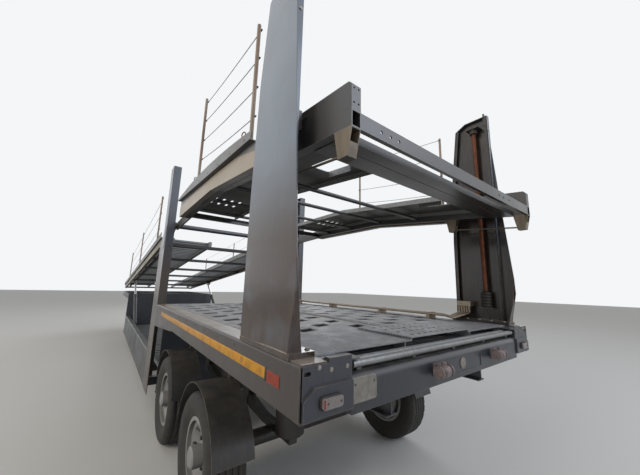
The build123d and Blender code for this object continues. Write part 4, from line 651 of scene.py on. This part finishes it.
# %% Foot plate, gusset, spindle shelves and hook
foot_plate = slab([deck_top, foot_plate_top], at(0.088), at(0.626), side_face - 0.14, side_face)
gusset_heights, gusset_inner = [foot_plate_top, 1.53, 1.64, 1.9], [1.195, 1.207, 1.231, 1.262]
gusset_rear = at(np.interp(gusset_heights, *post_rear_edge.T)) + 0.001
gusset = slab(gusset_heights, gusset_rear, gusset_rear + plate_thickness, gusset_inner, plate_inner)
spindle_low, spindle_high = (np.array(v, float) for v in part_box("lift_spindles"))
shelf_heights = [(spindle_low[2] - 0.008, spindle_low[2]), (spindle_high[2], spindle_high[2] + 0.008)]
shelves = [slab(heights, at(0.23), at(0.37), side_face - 0.104, plate_inner) for heights in shelf_heights]
hook = slab([3.6, 3.74], at(0.19), at(0.206), plate_inner - 0.026, plate_inner)
post = joined(plate, channel, rear_lip, front_lip, foot_plate, gusset, *shelves, hook)
post_plates = add_piece("rear_post_plates", both_sides(post), post_paint, "chassis",
                        smooth=False)
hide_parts("rear_posts")

# %% Bolts of the posts' heads and weld beads at their feet
head_bolts = [(at(channel_rear), 1.245, z) for z in (3.3, 3.52)]
add_piece("post_head_bolts", both_sides(copies(bolt(0.008), head_bolts, backward)), zinc_bolt, "chassis",
          smooth=False)

# The bead ripples as a sine, like the scales of a weld laid by hand.
weld_steps, weld_ripple = 120, 0.0012
weld_x = np.linspace(at(0.1), at(0.618), weld_steps)
ripple = weld_ripple * np.sin(np.linspace(0, 240 * math.pi, weld_steps))
weld_path = np.stack([weld_x, side_face - 0.004 + ripple, foot_plate_top + ripple], -1)
add_piece("post_foot_welds", both_sides(swept(weld_path, 0.005, 8)), pale_weld, "chassis")

# %% [markdown]
# ## Wheel nuts
# Ten nuts hold each rim on the flat ring round its hub. They stand on a circle, so their places come
# from one array of angles. An array modifier could turn them about an empty, but the angles need no
# second object.

# %% Wheel nuts
nut_count, nut_circle, nut_radius, nut_seat = 10, 0.122, 0.013, 0.036
for place in ("rear", "front"):
    for hand, side in sides.items():
        hub_x, _, hub_z = (sum(span) / 2 for span in zip(*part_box("hub_%s_%s" % (place, hand))))
        wheel_y = sum(v[1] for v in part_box("tyre_%s_%s" % (place, hand))) / 2
        angles = around(nut_count)
        seats_y = np.full(nut_count, wheel_y + side * nut_seat)
        places = np.stack([hub_x + nut_circle * np.cos(angles), seats_y,
                           hub_z + nut_circle * np.sin(angles)], -1)
        nuts = copies(bolt(nut_radius), places, (0, side, 0))
        add_piece("wheel_nuts_%s_%s" % (place, hand), nuts, dark_bolt, "wheel_%s_%s" % (place, hand),
                  smooth=False)

# %% [markdown]
# ## Tyres
# A trailer tyre has a nearly flat tread with straight grooves, narrow cuts across its shoulders, and a
# side wall with raised rings. A bump pattern could draw the grooves, but the tyre's outline would stay
# smooth, and that is where they show. So the profile is a function of the place across the tyre, with
# grooves in it, and the whole tyre is one grid of angle by profile. It stays inside the CAD tyre and
# stands in for it.

# %% Profile of the tyre
tyre_steps, wall_steps = 180, 15
bead_radius, bead_half = 0.2535, 0.1
groove_places = np.array([-0.066, -0.022, 0.022, 0.066])
groove_width, groove_depth, groove_draft = 0.008, 0.011, 0.001
ring_places, ring_height = (0.55, 0.3), 0.002


def tyre_profile(radius, half):
    """Offset y and radius r from bead to bead. The wall bulges as a quarter sine up to 0.62 of its height
    and draws in as a square above 0.72, with two rings on it. The tread is flat, with four grooves."""
    t = np.linspace(0, 1, wall_steps)
    crown = half - 0.04
    wall_r = bead_radius + (radius - 0.006 - bead_radius) * t
    wall_y = bead_half + (half - bead_half) * np.sin(np.clip(t / 0.62, 0, 1) * math.pi / 2)
    wall_y -= (half - crown - 0.012) * np.clip((t - 0.72) / 0.28, 0, 1) ** 2
    for place in ring_places:
        wall_y -= ring_height * (np.abs(t - place) < 0.03)
    reach = np.array([-1, -1, 1, 1]) * groove_width / 2 + np.array([-1, 1, -1, 1]) * groove_draft
    tread_y = np.concatenate([[-crown], (groove_places[:, None] + reach).ravel(), [crown]])
    tread_r = radius - groove_depth * np.concatenate([[0], np.tile([0, 1, 1, 0], len(groove_places)), [0]])
    return np.concatenate([-wall_y, tread_y, wall_y[::-1]]), np.concatenate([wall_r, tread_r, wall_r[::-1]])


print("tyre profile of", len(tyre_profile(0.38, 0.14)[0]), "points")

# %% Tyres with grooves
cut_every, cut_depth, shoulder_from = 6, 0.007, 0.085


def tyre_shape(centre, radius, half):
    """Point = centre + (r cos a, y, r sin a). On the shoulders r drops by 7 mm in cuts 12 degrees apart."""
    y, r = tyre_profile(radius, half)
    a = around(tyre_steps)
    shoulder = (np.abs(y) > shoulder_from) & (r > radius - 0.03)
    cut = np.arange(tyre_steps) % cut_every == 0
    radii = r[:, None] - cut_depth * np.outer(shoulder, cut)
    points = np.stack([radii * np.cos(a), np.broadcast_to(y[:, None], radii.shape), radii * np.sin(a)], -1)
    return points.reshape(-1, 3) + centre, grid_faces(len(y), tyre_steps, wrap_rows=True, wrap_columns=True)


for place in ("rear", "front"):
    for hand in sides:
        node = "tyre_%s_%s" % (place, hand)
        low, high = (np.array(v, float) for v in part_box(node))
        radius, half = (high[2] - low[2]) / 2, (high[1] - low[1]) / 2
        tyre = add_piece("tread_%s_%s" % (place, hand), tyre_shape((low + high) / 2, radius, half),
                         tyre_rubber, "wheel_%s_%s" % (place, hand))
        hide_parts(node)

# %% [markdown]
# ## Lifting spindles
# The nut climbs a thread with a round profile, one turn every 12 mm. A screw modifier could wind it, but
# one formula is enough: in a grid of angle by height, the radius is the crest less a cosine of the
# height minus the turn's share, which makes one continuous helix. The ribbed gearbox housing below and
# the bearing above are turned profiles.

# %% Thread
spindle_x = float(spindle_low[0] + spindle_high[0]) / 2
gearbox_radius = float(spindle_high[0] - spindle_low[0]) / 2
spindle_y = float(spindle_high[1]) - gearbox_radius
gearbox_height, bearing_height = 0.15, 0.06
gearbox_foot, bearing_top = float(spindle_low[2]), float(spindle_high[2])
gearbox_top, bearing_foot = gearbox_foot + gearbox_height, bearing_top - bearing_height
crest, thread_depth, thread_pitch = 0.0237, 0.0033, 0.012
rows_a_turn, thread_steps = 6, 16


def thread_shape(low, high):
    """Point (r cos a, r sin a, z) with r = crest - depth * (1 - cos(2 pi z / pitch - a)) / 2."""
    rows = int((high - low) / thread_pitch * rows_a_turn)
    z = np.linspace(low, high, rows)[:, None]
    a = around(thread_steps)[None, :]
    r = crest - thread_depth * (1 - np.cos(2 * math.pi * z / thread_pitch - a)) / 2
    points = np.stack([r * np.cos(a), r * np.sin(a), np.broadcast_to(z, r.shape)], -1)
    return points.reshape(-1, 3), grid_faces(rows, thread_steps, wrap_columns=True)[:, ::-1]


print("thread from z", round(gearbox_top, 3), "to", round(bearing_foot, 3), "m")

# %% Gearbox and bearing
rib_count, rib_depth, collar_height = 5, 0.009, 0.012


def gearbox_profile(foot, height, radius):
    """Housing: at share t of the height the radius is the waist plus the rib's depth times sin squared of
    the ribs' turn, raised to 0.6, and a collar closes its top."""
    t = np.linspace(0, 1, rib_count * 10 + 1)
    wave = np.clip(np.sin(t * rib_count * math.pi) ** 2, 0, 1) ** 0.6
    ribs = np.stack([radius - rib_depth + rib_depth * wave, foot + height * t], -1)
    top = foot + height
    collar = [(0.032, top), (0.03, top + collar_height), (0, top + collar_height)]
    return np.concatenate([[(0, foot)], ribs, collar])


bearing_profile = [(0, bearing_foot), (0.034, bearing_foot), (0.04, bearing_foot + 0.006),
                   (0.04, bearing_top - 0.022), (0.036, bearing_top - 0.02), (0.036, bearing_top),
                   (0, bearing_top)]
print("gearbox profile of", len(gearbox_profile(0, 1, 1)), "points")

# %% Threaded spindles
housing = gearbox_profile(gearbox_foot, gearbox_height, gearbox_radius - 0.001)
spindle_parts = (("spindle_thread_", thread_shape(gearbox_top, bearing_foot), greased_steel),
                 ("spindle_gearbox_", turned(housing, 48), cast_iron),
                 ("spindle_bearing_", turned(bearing_profile, 40), cast_iron))
for hand, side in sides.items():
    centre = np.array([spindle_x, side * spindle_y, 0])
    for name, (points, faces), finish in spindle_parts:
        piece = add_piece(name + hand, (points + centre, faces), finish, "chassis")
        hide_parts("lift_spindles")

# %% [markdown]
# ## Wire ropes between the stanchions
# Thin wire ropes guard the walkways, and small clamps hold their ends. A curve with a round bevel would
# look like a rod. Here each rope is a tube with a slight sag, a parabola between its ends, and six lobes
# that turn along it stand for the strands.

# %% Where the stanchions stand
def left_points(node):
    """The node's own points on the left side of the trailer, where y is above 0."""
    mesh = nodes[node].data
    points = np.empty(len(mesh.vertices) * 3)
    mesh.vertices.foreach_get("co", points)
    points = points.reshape(-1, 3)
    return points[points[:, 1] > 0]


def stanchion_tops(node):
    """Middle x and y and top z of each stanchion on the left: the points part where x jumps by 0.3 m."""
    points = left_points(node)
    points = points[np.argsort(points[:, 0])]
    groups = np.split(points, np.flatnonzero(np.diff(points[:, 0]) > 0.3) + 1)
    low, high = (np.array([limit(group, axis=0) for group in groups]) for limit in (np.min, np.max))
    return np.stack([(low[:, 0] + high[:, 0]) / 2, (low[:, 1] + high[:, 1]) / 2, high[:, 2]], -1)


rear_tops, front_tops = (stanchion_tops(node) for node in ("rear_stanchions", "front_stanchions"))
print("stanchions on the left:", len(rear_tops), "rear and", len(front_tops), "front")

# %% Wire ropes
rope_radius, strand_depth, strand_lay, rope_steps = 0.003, 0.14, 0.09, 12
rope_sag, rope_inset = 0.012, 0.019


def rope_shape(start, end, rows):
    """At share t the middle is start + (end - start) t, lowered by 4 sag t (1 - t). Round it the radius
    is r (1 + 0.14 cos 6 a), and the lobes turn once in each lay."""
    t = np.linspace(0, 1, rows)[:, None]
    path = start + (end - start) * t - np.array([0, 0, 1]) * 4 * rope_sag * t * (1 - t)
    length = np.linalg.norm(end - start)
    a = around(rope_steps)[None, :]
    twist = a + 2 * math.pi * t * length / strand_lay
    along = (end - start) / length
    side = np.cross(along, [0, 0, 1.0])
    side /= np.linalg.norm(side)
    up = np.cross(side, along)
    r = rope_radius * (1 + strand_depth * np.cos(6 * a))[..., None]
    points = path[:, None] + r * (np.cos(twist)[..., None] * side + np.sin(twist)[..., None] * up)
    return points.reshape(-1, 3), grid_faces(rows, rope_steps, wrap_columns=True)


rope_clamp = turned([(0.0, -0.009), (0.006, -0.009), (0.006, 0.009), (0.0, 0.009)], 10)
for end, tops, drops, rows in (("rear", rear_tops, (0.03, 0.27, 0.51, 0.74), 150),
                               ("front", front_tops, (0.03, 0.33, 0.63), 180)):
    body = end + "_platform"
    ends = [(first - (0, rope_inset, drop), second - (0, rope_inset, drop))
            for first, second in zip(tops, tops[1:]) for drop in drops]
    ropes = joined(*[rope_shape(first, second, rows) for first, second in ends])
    add_piece(end + "_ropes", both_sides(ropes), rope_wire, body)
    clamps = copies(rope_clamp, ends, (1, 0, 0))
    add_piece(end + "_rope_clamps", both_sides(clamps), dark_bolt, body)

# %% [markdown]
# ## Rope eyes
# A welded ring ahead of each rear stanchion's foot takes the end of the lowest rope. It is a circle
# carried round a circle, a torus. Blender has one ready, but the formula also turns it a little outward
# and sets it on the top of the walkway's kerb, whose height is read from the solid.

# %% Rope eyes
eye_radius, eye_wire, eye_turn = 0.02, 0.004, math.radians(17)
eye_ahead, eye_inset, eye_rise = 0.125, 0.012, 0.022


def ring_eye(radius, wire, turn):
    """Torus: a point is (R + r cos b)(cos a along + sin a up) + r sin b across, along turned from X."""
    a, b = around(24)[:, None], around(8)[None, :]
    reach = radius + wire * np.cos(b)
    along, across = reach * np.cos(a), wire * np.sin(b)
    points = np.stack([along * math.cos(turn) - across * math.sin(turn),
                       along * math.sin(turn) + across * math.cos(turn), reach * np.sin(a)], -1)
    return points.reshape(-1, 3), grid_faces(24, 8, wrap_rows=True, wrap_columns=True)[:, ::-1]


# The top of the kerb: the highest of the solid's points at each place along it.
kerb = left_points("upper_rear_walkways")
kerb = kerb[kerb[:, 1] > side_face - 0.01]
kerb_x, columns = np.unique(np.round(kerb[:, 0], 3), return_inverse=True)
kerb_top = np.zeros(len(kerb_x))
np.maximum.at(kerb_top, columns, kerb[:, 2])
eye_x = rear_tops[:, 0] + eye_ahead
eye_z = np.interp(eye_x, kerb_x, kerb_top) + eye_rise
points, faces = ring_eye(eye_radius, eye_wire, eye_turn)
eyes = joined(*[(points + (x, side_face - eye_inset, z), faces) for x, z in zip(eye_x, eye_z)])
add_piece("rear_rope_eyes", both_sides(eyes), dark_bolt, "rear_platform")

# %% [markdown]
# ## Markings, lamps and plate
# A yellow reflective tape, 50 mm wide, runs along each sill. It is a film of tiny cells, which a Voronoi
# pattern 3 mm across draws without a picture file. The lamps have a dark rubber seat, a red strip at the
# outer end and two screws, and the plate beside them is blank. Seat and plate are rounded rectangles:
# an outline with a power in its formula gives any corner from round to nearly square.

# %% Reflective tape
# Sealed reflective film, smooth and half glossy: yellow cells with darker seams, browned in patches.
# The real cells are about 3 mm across, and show only from close by.
tape_cell = 0.003
tape_film, tree, shader, where = new_material("yellow_reflective_film")
cells = add_node(tree, "ShaderNodeTexVoronoi", {"Vector": where, "Scale": 1 / tape_cell},
                 feature="DISTANCE_TO_EDGE")
inside = add_node(tree, "ShaderNodeMapRange", {"Value": cells.outputs[0], "From Max": 0.12}).outputs[0]
browned = mask(tree, where, 0.05, 0.42, 0.8)
yellow = layered(tree, linear("#b57b14"), (inside, linear("#d2961f")), (browned, linear("#94692a")))
tree.links.new(yellow, shader.inputs["Base Color"])
shader.inputs["Roughness"].default_value = 0.35
tape_z, tape_rise = (1.328, 1.379), 0.0006
tape = band((at(0.294), at(3.35)), side_face, tape_z, tape_rise)
add_piece("side_tape", both_sides(tape), tape_film, "chassis")

# %% Clips at the tape's ends
clip = band((at(0.272), at(0.29)), side_face, (1.322, 1.385), 0.002)
add_piece("tape_end_clips", both_sides(clip), black_rubber, "chassis")

# %% Rounded outlines
def rounded_rings(y, z, power, steps, rings):
    """Rounded rectangle in y and z. A ring (growth g, place x) has the points (x, cy + (hy + g) s(cos a),
    cz + (hz + g) s(sin a)), where s(v) keeps the sign of v and raises its size to the power."""
    a = around(steps)
    across, upward = (np.sign(v) * np.abs(v) ** power for v in (np.cos(a), np.sin(a)))
    growth, x = np.array(rings, float).T[:, :, None]
    ring_y = sum(y) / 2 + ((y[1] - y[0]) / 2 + growth) * across
    ring_z = sum(z) / 2 + ((z[1] - z[0]) / 2 + growth) * upward
    return np.stack(np.broadcast_arrays(x, ring_y, ring_z), -1).reshape(-1, 3)


print("outline of", len(rounded_rings((0, 1), (0, 1), 0.35, 64, [(0, 0)])), "points")

# %% Lamp seats
lamp_low, lamp_high = (np.array(v, float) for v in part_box("rear_lamps"))
lamp_back, lamp_face = float(lamp_high[0]), float(lamp_low[0])
lamp_y = (float(left_points("rear_lamps")[:, 1].min()), float(lamp_high[1]))
lamp_z = (float(lamp_low[2]), float(lamp_high[2]))
seat_width, seat_fit, seat_front, seat_steps = 0.005, 0.0005, lamp_back - 0.009, 64
seat_rings = [(seat_width, lamp_back), (seat_width, seat_front), (seat_fit, seat_front),
              (seat_fit, lamp_back)]
seat = rounded_rings(lamp_y, lamp_z, 0.35, seat_steps, seat_rings)
seat = (seat, grid_faces(len(seat_rings), seat_steps, wrap_rows=True, wrap_columns=True))
add_piece("lamp_seats", both_sides(seat), black_rubber, "chassis")

# %% Red strips and screws of the lamps
strip_y = lamp_y[1] - np.array([0.013, 0.004])
strip_z = np.array([lamp_z[0] + 0.004, lamp_z[0] + 0.007, lamp_z[1] - 0.007, lamp_z[1] - 0.004])[:, None]
strip_x = lamp_face - 0.0012 * np.array([0, 1, 1, 0])[:, None]
red = np.stack(np.broadcast_arrays(strip_x, strip_y, strip_z), -1).reshape(-1, 3)
add_piece("lamp_red_strips", both_sides((red, grid_faces(4, 2))), red_lens, "chassis")
screws = [(lamp_face, y, sum(lamp_z) / 2) for y in (lamp_y[0] + 0.013, lamp_y[1] - 0.026)]
add_piece("lamp_screws", both_sides(copies(rivet(0.005, 0.0025), screws, backward)), dark_bolt, "chassis")

# %% Blank plate, bent over the rounded edge of the rear beam
plate_y, plate_z, plate_depth, plate_steps = (0.822, 0.983), (1.247, 1.356), 0.003, 80
# Each ring of the plate lies inside its outline by an inset, and stands out by a share of its depth.
plate_insets = [(0, 0), (0, 0.6), (0.0012, 1), (0.006, 1), (0.007, 0.8), (0.02, 0.8),
                ((plate_z[1] - plate_z[0]) / 2, 0.8)]
plate_rings = [(-inset, at(-share * plate_depth)) for inset, share in plate_insets]
points = rounded_rings(plate_y, plate_z, 0.15, plate_steps, plate_rings)
beam_edge_radius, beam_edge_foot = 0.045, 1.33
# Above its foot the edge draws forward by radius - sqrt(radius ^ 2 - over ^ 2), and the plate with it.
over = np.clip(points[:, 2] - beam_edge_foot, 0, beam_edge_radius * 0.9)
points[:, 0] += beam_edge_radius - np.sqrt(beam_edge_radius ** 2 - over ** 2)
faces = grid_faces(len(plate_rings), plate_steps, wrap_columns=True)
add_piece("blank_plate", (points, faces), plate_enamel, "chassis")
plate_screws = [(at(-plate_depth), y, 1.328) for y in (0.84, 0.965)]
add_piece("plate_screws", copies(rivet(0.005, 0.002), plate_screws, backward), dark_bolt, "chassis")

# %% Cap in the rear beam
cap_place = (at(0.004), -0.04, 1.286)
cap_profile = [(0.0, 0.0), (0.036, 0.0), (0.036, 0.004), (0.032, 0.0065), (0.012, 0.0072), (0.0, 0.0072)]
add_piece("recess_cap", copies(turned(cap_profile, 48), [cap_place], backward), pale_cap, "chassis")

# %% [markdown]
# ## Camera, floor and light
# The photograph was taken from close behind the left corner with a very wide lens, so the near post
# looks far larger than the rest. Its place and angles were solved from the edges of the trailer. A
# picture of a sky could light the scene, but it would colour the paints, so the floor is a plain pale
# sheet, and a pale world with three large lamps gives soft studio light.

# %% Camera
focal_pixels, photo_width, sensor_width = 277.2, 640, 36
camera_place = (at(-0.971), 1.925, 1.76)
yaw, pitch, roll = (math.radians(v) for v in (-37.23, 10.11, 1.5))
ahead = np.array([math.cos(yaw) * math.cos(pitch), math.sin(yaw) * math.cos(pitch), math.sin(pitch)])
right = np.array([math.sin(yaw), -math.cos(yaw), 0])
up = np.cross(right, ahead)
x_axis = math.cos(roll) * right + math.sin(roll) * up
y_axis = math.cos(roll) * up - math.sin(roll) * right


def placed(columns, place):
    """Matrix of an object whose X, Y and Z axes are the columns and whose origin is the place."""
    matrix = np.eye(4)
    matrix[:3, :3], matrix[:3, 3] = np.stack(columns, -1), place
    return Matrix(matrix.tolist())


data = bpy.data.cameras.new("camera")
data.sensor_width = sensor_width
data.lens = focal_pixels / photo_width * sensor_width
camera = bpy.data.objects.new("camera", data)
bpy.context.scene.collection.objects.link(camera)
camera.matrix_world = placed((x_axis, y_axis, -ahead), camera_place)
bpy.context.scene.camera = camera
print("camera lens", round(data.lens, 2), "mm at", [round(float(v), 2) for v in camera_place])

# %% Floor
# Matt pale studio vinyl: it takes soft shadows and gives no reflection.
floor_finish, tree, shader, where = new_material("pale_studio_floor")
shader.inputs["Base Color"].default_value = linear("#d9d8d4")
shader.inputs["Roughness"].default_value = 0.9
floor_reach = 60.0
floor_mesh = bpy.data.meshes.new("floor")
floor_mesh.from_pydata([(-floor_reach, -floor_reach, 0), (floor_reach, -floor_reach, 0),
                        (floor_reach, floor_reach, 0), (-floor_reach, floor_reach, 0)], [], [(0, 1, 2, 3)])
floor_mesh.materials.append(floor_finish)
floor = bpy.data.objects.new("floor", floor_mesh)
bpy.context.scene.collection.objects.link(floor)
print("floor", 2 * floor_reach, "m wide")

# %% Lamps
def area_lamp(name, place, target, power, colour, size=8):
    """Large soft lamp that looks from its place to the target: Z points back, X lies level across it."""
    light = bpy.data.lights.new(name, "AREA")
    light.shape, light.size, light.energy, light.color = "DISK", size, power, linear(colour)[:3]
    lamp = bpy.data.objects.new(name, light)
    bpy.context.scene.collection.objects.link(lamp)
    z = np.array(place, float) - target
    z /= np.linalg.norm(z)
    x = np.cross([0, 0, 1.0], z)
    x /= np.linalg.norm(x)
    lamp.matrix_world = placed((x, np.cross(z, x), z), place)
    print("lamp", name, power, "W")


area_lamp("key", (-6, 15, 9), (-3, 0, 1.5), 1000, "#fff6ea")
area_lamp("fill", (-15, -5, 8), (-4, 0, 1.5), 500, "#e6eeff")
area_lamp("front", (12, -9, 8), (0, 0, 1.2), 500, "#f4f6ff")

# %% World
# White for the camera, for reflections and through lenses, and dimmer as light on the surfaces.
world_light, world_seen = 0.42, 1.0
world = bpy.data.worlds.new("studio")
bpy.context.scene.world = world
world.use_nodes = True
tree = world.node_tree
tree.nodes.clear()
rays = add_node(tree, "ShaderNodeLightPath").outputs
seen = rays["Is Camera Ray"]
for kind in ("Is Glossy Ray", "Is Transmission Ray"):
    seen = add_node(tree, "ShaderNodeMath", {0: seen, 1: rays[kind]}, operation="MAXIMUM").outputs[0]
strength = add_node(tree, "ShaderNodeMapRange", {"Value": seen, "To Min": world_light, "To Max": world_seen})
sky = add_node(tree, "ShaderNodeBackground", {"Color": linear("#f4f6f8"), "Strength": strength.outputs[0]})
add_node(tree, "ShaderNodeOutputWorld", {"Surface": sky.outputs[0]})
bpy.context.scene.view_settings.view_transform = "Standard"
print("world light", world_light, "seen as", world_seen)
